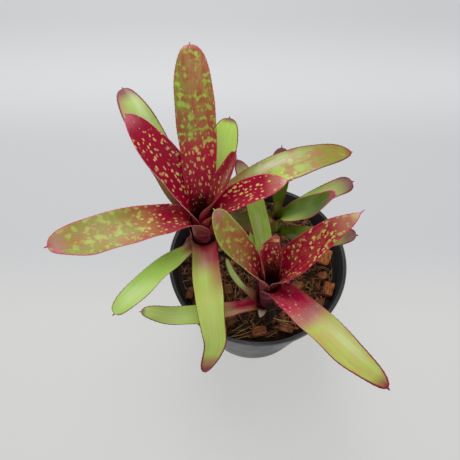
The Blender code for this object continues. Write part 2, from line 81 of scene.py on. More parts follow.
# Potting mix. Crumbs, fibres and lumps spread from the middle to about the wall, and the tubes of
# the three rosettes are kept clear of them
MIX_LEVEL = 88.0
MIX_BOTTOM = 2.9
MIX_SIDES = 240
MIX_RINGS = 78
MIX_GAP = 0.2
MIX_FOOT_GAP = 0.3
MIX_EDGE = 2.0
MIX_EDGE_DROP = 1.2
STEM_FLAT = 9.0
STEM_FADE = 8.0
LUMP_REACH = 56.0
CRUMB_REACH = 54.0
FIBRE_REACH = 52.0
FIBRE_POINTS = 11
FIBRE_SIDES = 5
CHIP_WAVES = 26
CHIP_LIFT = 0.3
CHIP_SHIFT = 31.0
FIBRE_LIFT = 0.6
TUBE_CLEARANCES = (14.0, 12.0, 8.0)
CRUMB_SEED = 5
FIBRE_SEED = 9
CHIP_SEED = 40

# Sheaths and blades. A leaf's pattern is shifted along its place so that no two leaves look alike
SHEATH_PITCH = 1.0
SHEATH_FADE = 50.0
SHEATH_BOTTOM = 88.3
SHEATH_LEVELS = (0.0, 5.0, 10.0, 16.0, 26.0, 40.0)
SHEATH_ROW = 1.4
HIGHEST_FOOT = 3
SMALLEST_HALF_WIDTH = 0.4
FREE_OPENING = 32.0
TIP_FLATTENING = 20.0
TURN_FADE = 22.0
OVERLAP_FADE = 16.0
MIDRIB_STEPS = 240
TIP_THINNING = (0.9, 0.8, 0.6, 0.3)
UNDERSIDE_SHIFT = 150.0
LEAF_SHIFT = 300.0

# Floor, and in metres the height that the lamps aim at
SWEEP_HALF = 8000.0
SWEEP_FLAT = 420.0
SWEEP_BEND = 900.0
SWEEP_DROP = 0.05
# The sweep's own colour is this share of its tint; its painted glow gives the rest of its brightness and
# fills the shadows on it
SWEEP_MATTE = (0.2, 0.2, 0.2, 1)
LAMP_AIM = 0.1
SENSOR_WIDTH = 36.0

# Screen colours that no setting changes
# Painted highlight: the pale glossy sheen laid on the leaves where they catch the light
PAINTED_SHEEN = (236, 240, 200)
WRINKLE = (226, 158, 172)
STEM_DARK = (70, 14, 26)
STEM_BROWN = (132, 74, 46)
POT_RUB = (66, 69, 72)
POT_DUST = (120, 112, 102)
# Painted light: the sweep's tones, lighter in a band far back where its curve catches the light and lighter
# near the front, which the lamps light less
SWEEP_PAINTED_LIGHT_TONES = ((220, 221, 224), (233, 234, 236), (217, 218, 221), (232, 232, 230))


@dataclass
class Rosette:
    """A ring of leaves round one stem, leaves from the youngest to the oldest."""

    name: str
    x: float
    y: float
    top: float
    foot_radius: float
    top_radius: float


@dataclass
class Leaf:
    """One leaf. Azimuths are seen from above, leans are from the vertical, widths are full widths.

    The neck is the height at which the blade leaves its sheath. The lean is reached within the flare
    and the tip's lean at the tip, while the heading turns by the sweep and the blade rolls about its
    midrib. The base is the blade's width at its foot, as a part of its full width. From the taper on,
    a part of the length, the blade narrows, rounder with more fullness and less blunt, and the skew
    pushes its tip sideways. The mucro is the length of the small point. The sheath wraps the tube by
    the wrap to each side at its foot and the neck wrap at the neck, turned by the turn from the
    azimuth, and the blade opens from it over the curl.
    """

    azimuth: float
    neck: float
    lean: float
    tip_lean: float
    length: float
    width: float
    sweep: float = 0.0
    roll: float = 0.0
    taper: float = 0.6
    fullness: float = 2.2
    skew: float = 0.0
    base: float = 0.78
    flare: float = 16.0
    wrap: float = 92.0
    neck_wrap: float = 76.0
    turn: float = 0.0
    curl: float = 30.0
    blunt: float = 0.6
    mucro: float = 1.4
    foot_level: int = 0


@dataclass
class Skin:
    """Finish of one leaf.

    Each ground stop is a part of the blade, 0 at the neck and 1 at the tip, and one colour, or three
    from the blade's right margin to its left one, seen from the neck. Spot stops are written in the
    same way. Amounts are read at five even parts of the blade, and rim widths at three. The rim has the
    lip's colour about the neck and the rim's own colour from there to the tip. A painted sheen is a
    painted highlight, a pale glossy patch put where the leaf catches the light: its part of the blade,
    its place across from -1 to 1, its half length and half width in the same measures, and its
    strength. The collar is how much the sheath below the neck shows pale wrinkles across it.
    """

    ground: tuple
    # Colour that the sheath darkens to below the neck: partly the sheath's own dark red, partly painted shade
    # deep in the cup
    inside: str = "dark_maroon"
    outside: tuple = ("maroon", "crimson")
    second: str = "rose_brown"
    spot: tuple = ((0, "fleck_yellow"), (1, "fleck_yellow"))
    fleck: tuple = (0, 0, 0, 0, 0)
    blotch: tuple = (0, 0, 0, 0, 0)
    patch: tuple = (0.2, 0.2, 0.2, 0.2, 0.2)
    rim: str = "rim_dark"
    lip: str = "rim_dark"
    rim_width: tuple = (0.0, 0.3, 0.9)
    # Painted highlight: pale glossy patches where the leaf catches the light
    bloom: tuple = ()
    collar: float = 0.0


@dataclass
class Chip:
    """A chip of husk or bark on the mix: its place, its size, its turn and how light it is."""

    x: float
    y: float
    long: float
    wide: float
    high: float
    turn: float
    tone: float


@dataclass
class Root:
    """A root or a straw on the mix, through three places (x, y), and how high it arches."""

    start: tuple
    middle: tuple
    end: tuple
    rise: float
    radius: float
    tone: float


MOTHER = Rosette("mother", x=-36.6, y=3.5, top=150, foot_radius=3.4, top_radius=5.2)
DAUGHTER = Rosette("daughter", x=4.6, y=-32.0, top=143, foot_radius=2.6, top_radius=5.4)
PUP = Rosette("pup", x=13.6, y=26.0, top=118, foot_radius=2.0, top_radius=2.6)
ROSETTES = (MOTHER, DAUGHTER, PUP)

MOTHER_LEAVES = (
    Leaf(azimuth=25, neck=154, lean=26, tip_lean=21, length=47, width=13.3, taper=0.49,
         fullness=1.8, skew=0.1, flare=8, turn=-52, blunt=0.45),
    Leaf(azimuth=91, neck=150, lean=30, tip_lean=66, length=98, width=23.0, sweep=8, roll=3,
         fullness=2.3, skew=-0.1, blunt=0.42),
    Leaf(azimuth=140, neck=148, lean=33, tip_lean=68, length=74, width=21.9, sweep=3, taper=0.52,
         fullness=2.1, skew=-0.17, base=0.88, flare=20, neck_wrap=80, turn=42),
    Leaf(azimuth=3, neck=146, lean=42, tip_lean=64, length=60, width=19.9, sweep=-5, taper=0.52,
         fullness=2.0, skew=-0.13, flare=14, neck_wrap=80, turn=-22, mucro=3.0),
    Leaf(azimuth=21, neck=141, lean=52, tip_lean=104, length=102, width=20.7, sweep=-7, roll=5,
         taper=0.48, fullness=2.1, base=0.9, flare=21, blunt=0.5),
    Leaf(azimuth=201, neck=141, lean=70, tip_lean=96, length=92, width=25.6, sweep=1, roll=-2,
         taper=0.58, fullness=2.3, skew=-0.26, base=0.75, flare=19, neck_wrap=80, turn=22, mucro=2.0,
         blunt=0.45),
    Leaf(azimuth=70, neck=136, lean=43, tip_lean=68, length=66, width=19.1, sweep=5, taper=0.61,
         fullness=2.3, flare=17, blunt=0.4),
    Leaf(azimuth=130, neck=131, lean=50, tip_lean=82, length=101, width=20.8, sweep=-14, taper=0.56,
         fullness=2.3, skew=0.1, base=0.9, flare=12, blunt=0.38),
    Leaf(azimuth=275, neck=124, lean=76, tip_lean=169, length=98, width=18.3, sweep=6, roll=10,
         taper=0.37, fullness=1.3, skew=-0.9, base=0.9, flare=18, mucro=1.0, blunt=0.42),
    Leaf(azimuth=237, neck=117, lean=48, tip_lean=98, length=83, width=12.7, sweep=-3, roll=-4,
         taper=0.75, fullness=2.6, skew=-0.2, base=0.55, neck_wrap=66, blunt=0.42),
)

DAUGHTER_LEAVES = (
    Leaf(azimuth=105, neck=143, lean=15, tip_lean=-4, length=31, width=15.5, sweep=-3, roll=-3,
         taper=0.44, fullness=1.3, skew=-0.4, base=0.92, flare=14, wrap=120, neck_wrap=125, curl=48),
    Leaf(azimuth=6, neck=134, lean=23, tip_lean=44, length=72, width=22.9, sweep=18, roll=-3,
         taper=0.3, fullness=1.3, skew=-0.23, base=1.0, flare=7, neck_wrap=80, turn=-22, mucro=3.0),
    Leaf(azimuth=159, neck=134, lean=34, tip_lean=46, length=56, width=17.9, sweep=-19, roll=-2,
         taper=0.58, skew=-0.25, base=0.84, flare=7, neck_wrap=80, turn=28, blunt=0.5),
    Leaf(azimuth=303, neck=125, lean=54, tip_lean=96, length=92, width=18.5, sweep=5, taper=0.47,
         fullness=2.15, skew=0.3, base=0.95, flare=12, blunt=0.5),
    Leaf(azimuth=99, neck=124, lean=46, tip_lean=91, length=81, width=12.4, sweep=11, taper=0.58,
         skew=0.2, flare=18, blunt=0.42),
    Leaf(azimuth=119, neck=118, lean=33, tip_lean=49, length=38, width=6.3, sweep=-5, taper=0.55,
         fullness=2.1, base=0.6, flare=18, wrap=58, neck_wrap=40, blunt=0.5),
    Leaf(azimuth=178, neck=101, lean=38, tip_lean=22, length=47, width=4.6, sweep=-46, roll=-4,
         taper=0.7, fullness=2.5, skew=-0.35, base=0.58, flare=7, wrap=58, neck_wrap=40, blunt=0.45),
    Leaf(azimuth=199, neck=93, lean=82, tip_lean=80, length=82, width=12.8, sweep=-17, roll=-4,
         taper=0.63, fullness=2.45, skew=-0.5, base=0.62, flare=10, neck_wrap=60, blunt=0.42),
)

PUP_LEAVES = (
    Leaf(azimuth=92, neck=122, lean=33, tip_lean=60, length=43, width=13.7, sweep=-4, fullness=2.3,
         skew=-0.18, flare=15, mucro=2.0, blunt=0.42),
    Leaf(azimuth=335, neck=109, lean=35, tip_lean=41, length=54, width=21.3, sweep=1, roll=4,
         taper=0.55, fullness=2.1, skew=0.45, base=0.83, flare=7, blunt=0.5),
    Leaf(azimuth=19, neck=106, lean=62, tip_lean=87, length=59, width=13.4, sweep=4, roll=6,
         taper=0.82, fullness=2.6, base=0.75, flare=7, blunt=0.42),
    Leaf(azimuth=211, neck=111, lean=69, tip_lean=75, length=36, width=18.8, sweep=-7, roll=-8,
         fullness=2.3, skew=-0.78, flare=7, blunt=0.5),
    Leaf(azimuth=315, neck=93, lean=54, tip_lean=61, length=67, width=16.2, sweep=29, roll=6,
         fullness=2.5, skew=0.27, base=0.6, flare=7, blunt=0.42),
)

DRY_SCALE = Leaf(azimuth=248, neck=92.5, lean=90, tip_lean=112, length=8, width=13.0, taper=0.1,
                 fullness=1.0, base=0.9, flare=5, wrap=42, neck_wrap=38, mucro=0.5)

GREEN_SPOTS = ((0, "fleck_yellow"), (0.36, "fleck_yellow"), (0.52, "bright_green"), (1, "bright_green"))
LATE_GREEN_SPOTS = ((0, "fleck_yellow"), (0.5, "fleck_yellow"), (0.75, "soft_green"), (1, "soft_green"))
OLIVE_SPOTS = ((0, "fleck_yellow"), (0.34, "fleck_yellow"), (0.5, "soft_olive"), (1, "soft_olive"))
PALE_SPOTS = ((0, "cream_pink"), (0.4, "cream_pink"), (0.6, "pale_green"), (1, "pale_green"))

MOTHER_SKINS = (
    Skin(ground=((0, "dark_maroon"), (0.12, "maroon", "maroon", "dark_maroon"), (0.35, "crimson"),
                 (0.7, "crimson"), (1, "crimson_pink", "crimson", "crimson")),
         fleck=(0.4, 0.9, 0.8, 0.4, 0.0), rim="crimson_pink", lip="crimson_pink", rim_width=(0.3, 0.3, 0.6),
         bloom=((0.7, -0.3, 0.2, 0.3, 0.3),)),
    Skin(ground=((0, "dark_maroon"), (0.07, "dark_maroon"), (0.17, "crimson"), (0.4, "bright_crimson"),
                 (0.52, "rose_red", "rose_brown", "olive_brown"),
                 (0.66, "rose_brown", "rose_brown", "olive_green"),
                 (0.86, "rose_brown", "tan_rose", "olive_green"), (0.96, "rose_brown"), (1, "cream_pink")),
         second="rose_red", spot=GREEN_SPOTS, fleck=(0.4, 0.85, 0.8, 0.35, 0.3),
         blotch=(0, 0.1, 0.7, 0.7, 0.5), patch=(0.1, 0.2, 0.6, 0.7, 0.7), rim="rose_red",
         rim_width=(0.1, 0.3, 0.5)),
    Skin(ground=((0, "maroon"), (0.1, "crimson"), (0.85, "crimson"), (1, "crimson_pink")),
         second="maroon", fleck=(0.7, 0.85, 0.85, 0.7, 0.1), blotch=(0, 0, 0.2, 0.2, 0),
         rim="white_pink", lip="white_pink", rim_width=(0.45, 0.3, 0.2), collar=0.7,
         bloom=((0.97, 0.0, 0.08, 0.8, 0.12),)),
    Skin(ground=((0, "maroon"), (0.12, "crimson"), (0.74, "crimson"), (0.92, "rosy"), (1, "cream_pink")),
         second="maroon", fleck=(0.6, 0.9, 0.9, 1.0, 0.5), rim="crimson_pink", lip="crimson_pink",
         rim_width=(0.3, 0.3, 0.8), collar=0.7),
    Skin(ground=((0, "maroon"), (0.12, "olive_brown"), (0.32, "olive_brown", "yellow_green", "olive_green"),
                 (0.6, "yellow_green"), (0.8, "olive_green"), (0.94, "olive_green"), (1, "rim_dark")),
         spot=PALE_SPOTS, fleck=(0.3, 0.3, 0.2, 0.1, 0), blotch=(0, 0.1, 0.2, 0.3, 0.1),
         patch=(0.8, 0.7, 0.9, 1.0, 0.6), rim_width=(0.3, 0.4, 1.0),
         bloom=((0.54, 0.55, 0.15, 0.32, 0.85),)),
    Skin(ground=((0, "maroon"), (0.08, "crimson"), (0.26, "crimson"),
                 (0.4, "rose_red", "rose_brown", "rose_red"),
                 (0.6, "olive_green", "rose_brown", "rose_brown"),
                 (0.86, "tan_rose", "rose_brown", "olive_green"), (0.95, "mauve_pink"),
                 (1, "crimson_pink")),
         second="olive_green", spot=OLIVE_SPOTS, fleck=(0.5, 0.8, 0.6, 0.5, 0.2),
         blotch=(0, 0.1, 0.7, 0.85, 0.5), patch=(0, 0.1, 0.7, 0.7, 0.4), rim="crimson_pink",
         outside=("maroon", "collar_pink"), lip="white_pink", rim_width=(0.4, 0.4, 0.9), collar=0.8),
    Skin(ground=((0, "olive_brown"), (0.3, "olive_green"), (0.5, "lit_green"), (0.93, "lit_green"),
                 (1, "rim_dark")), patch=(0.2, 0.2, 0.1, 0.1, 0.1), rim_width=(0.0, 0.2, 0.9),
         bloom=((0.7, 0.1, 0.2, 0.5, 0.2),)),
    Skin(ground=((0, "maroon"), (0.14, "maroon"), (0.3, "olive_brown"),
                 (0.5, "olive_brown", "yellow_green", "rose_brown"),
                 (0.66, "light_green"), (0.88, "light_green", "light_green", "tan_rose"),
                 (0.98, "rim_dark"), (1, "rim_dark")),
         rim_width=(0.2, 0.3, 1.7), bloom=((0.82, -0.45, 0.2, 0.35, 0.4),)),
    Skin(ground=((0, "olive_mauve", "maroon", "crimson"), (0.12, "olive_mauve", "magenta", "magenta"),
                 (0.22, "olive_green", "mauve", "magenta"),
                 (0.36, "yellow_green", "yellow_green", "blush"),
                 (0.5, "pale_green"), (0.82, "pale_green"), (0.9, "tan_rose"), (0.96, "rim_dark"),
                 (1, "rim_dark")),
         second="blush", patch=(0.2, 0.3, 0.1, 0.1, 0.2), rim_width=(0.0, 0.12, 1.6),
         bloom=((0.55, 0.0, 0.25, 0.4, 0.12),)),
    Skin(ground=((0, "magenta"), (0.1, "mauve"), (0.18, "rose_brown"), (0.32, "light_green"),
                 (1, "light_green")),
         patch=(0.3, 0.1, 0.05, 0.05, 0.1), lip="white_pink", rim_width=(0.6, 0.0, 0.6),
         bloom=((0.12, -0.7, 0.12, 0.25, 0.7), (0.85, 0.0, 0.15, 0.8, 0.25))),
)

DarkTubeSkin = partial(Skin, outside=("dark_maroon", "dark_maroon"))
CollarSkin = partial(Skin, inside="maroon", outside=("dark_maroon", "maroon"), lip="white_pink", collar=0.6)
DAUGHTER_SKINS = (
    DarkTubeSkin(ground=((0, "maroon"), (0.3, "crimson"), (0.8, "crimson"), (1, "rosy")), inside="maroon",
                 fleck=(0.6, 0.9, 0.9, 0.9, 0.5), blotch=(0.0, 0.0, 0.2, 0.5, 0.3), rim="crimson_pink",
                 lip="crimson_pink", rim_width=(0.3, 0.25, 0.6)),
    CollarSkin(ground=((0, "maroon"), (0.12, "crimson"), (0.7, "crimson"), (0.9, "rosy"),
                       (1, "cream_pink")),
               spot=LATE_GREEN_SPOTS, fleck=(0.6, 0.75, 0.9, 1.0, 0.6), blotch=(0, 0.1, 0.35, 0.55, 0.3),
               rim="crimson_pink", rim_width=(0.35, 0.3, 0.7)),
    CollarSkin(ground=((0, "crimson"), (0.2, "crimson"), (0.42, "rose_red", "rose_brown", "olive_brown"),
                       (0.85, "olive_green", "rose_brown", "olive_green"), (1, "mauve_pink")),
               second="rose_red", spot=OLIVE_SPOTS, fleck=(0.6, 0.8, 0.7, 0.4, 0.2),
               blotch=(0, 0.1, 0.5, 0.6, 0.2), patch=(0.1, 0.3, 0.5, 0.4, 0.3), rim="soft_olive",
               rim_width=(0.35, 0.5, 0.7)),
    DarkTubeSkin(ground=((0, "crimson"), (0.22, "magenta"), (0.29, "magenta"), (0.42, "mauve"),
                         (0.54, "soft_olive"), (0.9, "soft_olive"), (1, "rim_dark")),
                 collar=0.3, second="blush", spot=PALE_SPOTS, fleck=(0.6, 0.6, 0.1, 0, 0),
                 patch=(0.1, 0.2, 0.4, 0.4, 0.3), lip="pink", rim_width=(0.2, 0.2, 1.4),
                 bloom=((0.7, 0.45, 0.18, 0.3, 0.3),)),
    DarkTubeSkin(ground=((0, "magenta"), (0.18, "mauve"), (0.32, "lit_green"), (0.7, "lit_green"),
                         (0.84, "olive_green"), (1, "rim_dark")), rim_width=(0.0, 0.2, 1.2),
                 bloom=((0.45, 0.2, 0.14, 0.3, 0.35),)),
    DarkTubeSkin(ground=((0, "rose_brown"), (0.3, "lit_green"), (1, "lit_green")),
                 rim_width=(0.0, 0.1, 0.3)),
    DarkTubeSkin(ground=((0, "magenta"), (0.3, "rose_brown"), (0.5, "lit_green"), (1, "lit_green")),
                 rim_width=(0.0, 0.2, 0.4), bloom=((0.6, 0.0, 0.4, 0.8, 0.55),)),
    DarkTubeSkin(ground=((0, "crimson"), (0.22, "magenta"), (0.33, "blush"), (0.42, "lit_green"),
                         (0.95, "pale_green"), (1, "rim_dark")), second="light_green",
                 rim_width=(0.0, 0.1, 0.8),
                 bloom=((0.24, 0.5, 0.1, 0.3, 0.4), (0.72, 0.0, 0.3, 0.9, 0.25))),
)

PupSkin = partial(Skin, inside="dark_olive", outside=("olive_brown", "olive_green"), second="olive_brown")
PUP_SKINS = (
    PupSkin(ground=((0, "olive_green"), (0.2, "deep_green"), (0.6, "deep_green"), (0.85, "purple_grey"),
                    (1, "purple_grey"))),
    PupSkin(ground=((0, "yellow_green", "deep_green", "deep_green"),
                    (0.3, "yellow_green", "deep_green", "deep_green"), (0.86, "deep_green"),
                    (1, "crimson_pink")),
            second="olive_green", rim="crimson_pink", rim_width=(0.2, 0.3, 1.2)),
    PupSkin(ground=((0, "deep_green"), (0.45, "light_green"), (0.75, "olive_green"), (1, "purple_grey")),
            rim_width=(0.2, 0.5, 1.6), bloom=((0.6, 0.2, 0.2, 0.5, 0.3),)),
    PupSkin(ground=((0, "shade_olive", "shade_olive", "maroon"),
                    (0.8, "shade_olive", "shade_olive", "maroon"), (1, "purple_grey"))),
    PupSkin(ground=((0, "deep_green"), (0.84, "olive_green"), (0.93, "purple_grey"), (1, "purple_grey")),
            second="olive_green", patch=(0.2, 0.4, 0.3, 0.3, 0.2)),
)

DRY_SKIN = Skin(ground=((0, "cream"), (1, "cream")), inside="husk_tan", outside=("husk_tan", "cream"),
                second="husk_tan", patch=(0.4, 0.4, 0.4, 0.4, 0.4), rim="cream", rim_width=(0.5, 0.5, 0.5))

HUSK_CHIPS = (
    Chip(48.0, 4.5, 15.0, 12.0, 7.0, 68, 1.0),
    Chip(46.5, -10.0, 7.5, 6.5, 4.5, 20, 0.7),
    Chip(49.0, -20.5, 11.5, 8.0, 5.5, 72, 0.85),
    Chip(29.0, -17.5, 10.0, 8.0, 4.5, 10, 0.75),
    Chip(0.5, -50.5, 10.5, 7.5, 5.0, 5, 0.7),
    Chip(-20.7, -19.5, 9.5, 7.0, 4.5, 100, 0.6),
    Chip(-18.0, -42.5, 9.0, 6.5, 4.0, 30, 0.5),
    Chip(18.5, -48.5, 12.0, 6.5, 4.0, 165, 0.65),
    Chip(40.0, -32.0, 11.0, 8.0, 4.5, 40, 0.6),
    Chip(-47.0, -22.5, 10.0, 5.5, 3.0, 82, 0.55),
    Chip(-10.5, -1.0, 8.0, 6.0, 4.0, 130, 0.5),
    Chip(-28.0, 33.0, 12.0, 8.0, 5.5, 25, 0.6),
    Chip(-6.0, 42.0, 9.0, 7.5, 4.5, 140, 0.5),
    Chip(36.0, 25.0, 11.0, 8.0, 5.0, 15, 0.6),
    Chip(-8.0, 16.0, 10.0, 7.0, 4.5, 70, 0.5),
    Chip(30.0, 43.0, 8.0, 6.0, 4.0, 110, 0.6),
)

ROOTS = (
    Root((-10.0, -30.0), (-13.5, -38.0), (-5.0, -48.5), 3.0, 0.45, 0.35),
    Root((-9.0, -31.0), (-6.0, -40.0), (-13.0, -49.0), 2.0, 0.3, 0.25),
    Root((-22.0, -53.5), (-12.0, -52.5), (1.0, -46.5), 2.0, 0.25, 0.95),
    Root((-20.5, -54.5), (-11.0, -50.0), (-3.0, -44.5), 3.0, 0.2, 1.0),
    Root((-18.0, -55.0), (-8.0, -53.5), (4.0, -50.5), 1.5, 0.25, 0.9),
    Root((-21.5, -52.0), (-15.0, -48.5), (-8.0, -43.0), 2.5, 0.2, 0.95),
    Root((8.5, -39.5), (16.0, -42.8), (25.0, -43.0), 2.0, 0.4, 1.0),
    Root((9.0, -41.5), (17.0, -44.0), (24.0, -46.5), 1.5, 0.35, 0.9),
)


def from_screen(red, green, blue):
    """Linear colour from screen values of 0 to 255."""
    values = np.array((red, green, blue)) / 255.0
    return tuple(np.where(values <= 0.04045, values / 12.92, ((values + 0.055) / 1.055) ** 2.4).tolist())


def opaque(screen):
    """Linear colour with full alpha, from a tuple of screen values."""
    return (*from_screen(*screen), 1)


def colour(name, description, *screen):
    """A colour that the panel shows, from screen values."""
    return FloatVectorProperty(name=name, description=description, subtype="COLOR", size=3, min=0.0,
                               max=1.0, default=from_screen(*screen))


def length(name, description, millimetres):
    """A length that the panel shows, from millimetres."""
    return FloatProperty(name=name, description=description, unit="LENGTH", precision=5, min=0.0,
                         default=millimetres * MM)


class LeafSizes(bpy.types.PropertyGroup):
    """Sizes that every leaf shares."""

    sheath: length("Sheath thickness", "Thickness of a leaf where it wraps the tube", 0.55)
    blade: length("Blade thickness", "Thickness of a blade's middle", 1.0)
    margin: length("Margin thickness", "Thickness of a leaf's edge", 0.16)
    spine: length("Spine length", "Length of a spine on the margin", 0.55)
    spine_pitch: length("Spine spacing", "Distance between two spines", 3.1)
    ripple: length("Ripple", "How far a margin waves", 0.35)
    row: length("Row spacing", "Distance between two rows of the leaf's surface", 0.85)
    columns: IntProperty(name="Columns", description="Points across a leaf", default=33, min=9)


class LeafColours(bpy.types.PropertyGroup):
    """Colours that the leaves' skins name."""

    # Partly painted shade: the darkest red is the sheaths' own dark red together with the shade inside the
    # cups and on the daughter's low tube
    dark_maroon: colour("Dark maroon", "Inside of a cup", 84, 6, 30)
    maroon: colour("Maroon", "Foot of a red leaf", 116, 8, 36)
    crimson: colour("Crimson", "Ground of the young leaves", 164, 6, 50)
    bright_crimson: colour("Bright crimson", "Foot of a mottled leaf", 188, 6, 56)
    crimson_pink: colour("Crimson pink", "Tips and margins of red leaves", 200, 62, 100)
    magenta: colour("Magenta", "Foot of the old leaves", 186, 14, 70)
    pink: colour("Pink", "Soft margins", 224, 120, 150)
    white_pink: colour("White pink", "Pale margins", 226, 150, 166)
    cream_pink: colour("Cream pink", "Pale tips", 232, 190, 170)
    rosy: colour("Rosy", "Smooth outer part of a young leaf", 192, 116, 102)
    rose_red: colour("Rose red", "Reddish patches of a mottled leaf", 176, 72, 62)
    rose_brown: colour("Rose brown", "Ground of a mottled leaf", 172, 122, 68)
    tan_rose: colour("Tan rose", "Outer part of a mottled leaf", 180, 136, 88)
    blush: colour("Blush", "Faint red on a green leaf", 196, 140, 100)
    collar_pink: colour("Collar pink", "Sheaths under a cup", 138, 36, 62)
    mauve_pink: colour("Mauve pink", "Tips of the mottled leaves", 190, 124, 128)
    mauve: colour("Mauve", "Where magenta turns green", 170, 104, 100)
    olive_mauve: colour("Olive mauve", "Shaded foot of an old leaf", 150, 112, 88)
    olive_brown: colour("Olive brown", "Shaded leaf foot", 134, 108, 48)
    olive_green: colour("Olive green", "Green side of a mottled leaf", 144, 154, 62)
    yellow_green: colour("Yellow green", "Ground of an old leaf", 176, 200, 80)
    light_green: colour("Light green", "Ground of a low leaf", 164, 204, 88)
    pale_green: colour("Pale green", "Ground of a lit leaf", 194, 216, 106)
    soft_olive: colour("Soft olive", "Blotches of the low mottled leaves", 176, 190, 86)
    soft_green: colour("Soft green", "Blotches of the daughter's red leaf", 192, 204, 92)
    # Painted light: a lighter green given to leaves that face away from the light, so that they look lit
    lit_green: colour("Lit green", "Ground of a leaf that faces away from the light", 190, 230, 100)
    bright_green: colour("Bright green", "Blotches", 168, 206, 74)
    deep_green: colour("Deep green", "Ground of the pup's leaves", 80, 106, 2)
    dark_olive: colour("Dark olive", "Shaded leaves of the pup", 96, 108, 24)
    shade_olive: colour("Shaded olive", "The pup's leaf under the mother", 72, 76, 24)
    purple_grey: colour("Purple grey", "Tips of the pup's leaves", 126, 82, 88)
    fleck_yellow: colour("Fleck yellow", "Flecks on crimson", 232, 206, 120)
    rim_dark: colour("Dark rim", "Dark red edge of a green leaf", 128, 20, 50)
    cream: colour("Cream", "Dry scale", 255, 246, 222)
    husk_tan: colour("Husk tan", "Dry scale's foot", 190, 146, 96)


class PotSettings(bpy.types.PropertyGroup):
    """Colour and fineness of the pot."""

    plastic: colour("Plastic", "Charcoal of the pot", 56, 59, 62)
    sides: IntProperty(name="Sides", description="Points round the pot", default=192, min=24)


class MixSettings(bpy.types.PropertyGroup):
    """What the potting mix is made of."""

    # Partly painted shade: the darkest tone is the colour of wet crumbs and also stands for the shade in the
    # gaps between them
    dark: colour("Dark crumb", "Wet crumbs and gaps", 34, 22, 14)
    brown: colour("Brown husk", "Most of the husk", 112, 68, 38)
    orange: colour("Orange chip", "Freshly broken chips", 178, 104, 52)
    straw: colour("Straw", "Fibres", 206, 164, 104)
    relief: length("Relief", "How far the mix's surface rises and falls", 1.6)
    crumbs: IntProperty(name="Crumbs", description="Loose crumbs on the mix", default=1800, min=0)
    fibres: IntProperty(name="Fibres", description="Loose fibres on the mix", default=1200, min=0)
    seed: IntProperty(name="Seed", description="Seed of the crumbs, fibres and lumps", default=11)


class StageSettings(bpy.types.PropertyGroup):
    """Painted glow of the floor, light and camera."""

    # Painted light: the floor glows by this colour though it is no lamp, which softens the shadows on it
    painted_glow: colour("Glow", "Light that the sweep gives back by itself", 205, 205, 205)
    overhead: FloatProperty(name="Overhead light", description="Power of the large soft light",
                            unit="POWER", default=10.0, min=0.0)
    front: FloatProperty(name="Front light", description="Power of the soft front light",
                         unit="POWER", default=2.0, min=0.0)
    sky: FloatProperty(name="Room light", description="Strength of the even light all round",
                       default=0.36, min=0.0)
    lens: FloatProperty(name="Lens", description="Focal length", unit="CAMERA", default=36.0, min=1.0)
    camera_place: FloatVectorProperty(name="Camera place", description="Where the camera stands",
                                      subtype="TRANSLATION", unit="LENGTH",
                                      default=(-0.019313, -0.147326, 0.389163))
    camera_tilt: FloatProperty(name="Camera tilt", description="Turn up from looking straight down",
                               subtype="ANGLE", default=math.radians(30.46))


class BromeliadSettings(bpy.types.PropertyGroup):
    """All settings of the bromeliad."""

    leaf: PointerProperty(type=LeafSizes)
    colours: PointerProperty(type=LeafColours)
    pot: PointerProperty(type=PotSettings)
    mix: PointerProperty(type=MixSettings)
    stage: PointerProperty(type=StageSettings)


def smooth_step(value):
    """0 below 0, 1 above 1, and an even ease between them."""
    value = np.clip(value, 0.0, 1.0)
    return value * value * (3.0 - 2.0 * value)


def mixed(first, second, amount):
    """The first at amount 0, the second at amount 1."""
    return first * (1.0 - amount) + second * amount


def unit(vectors):
    """Vectors of the same directions and of length 1."""
    return vectors / np.maximum(np.linalg.norm(vectors, axis=-1, keepdims=True), 1e-9)


def faces_of(*corners):
    """Faces whose first, second, third and further corners are given as arrays of one shape."""
    return np.stack(corners, -1).reshape(-1, len(corners)).tolist()


def ring_of(sides):
    """Angles of evenly spaced points round a circle."""
    return FULL_TURN * np.arange(sides) / sides


def add_object(name, vertices, faces):
    """A mesh object from vertices in millimetres."""
    mesh = bpy.data.meshes.new(name)
    mesh.from_pydata((np.asarray(vertices) * MM).tolist(), [], [list(face) for face in faces])
    piece = bpy.data.objects.new(name, mesh)
    bpy.context.scene.collection.objects.link(piece)
    return piece


def set_smooth(piece, smooth):
    """Shades every face smooth or flat, or each face as its own entry says."""
    faces = piece.data.polygons
    faces.foreach_set("use_smooth", np.full(len(faces), smooth))


def make_piece(name, vertices, faces, material, nodes, attributes=None):
    """A smooth mesh piece in millimetres that stands for its CAD nodes."""
    piece = add_object(name, vertices, faces)
    set_smooth(piece, True)
    mesh = piece.data
    for label, values in (attributes or {}).items():
        values = np.asarray(values, np.float32)
        kind, key = {1: ("FLOAT", "value"), 3: ("FLOAT_VECTOR", "vector"), 4: ("FLOAT_COLOR", "color")}[
            values.shape[1] if values.ndim > 1 else 1]
        mesh.attributes.new(label, kind, "POINT").data.foreach_set(key, values.ravel())
    mesh.materials.append(material)
    mesh.update()
    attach(piece, FIXED_BODY)
    if nodes:
        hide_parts(*nodes)
    return piece


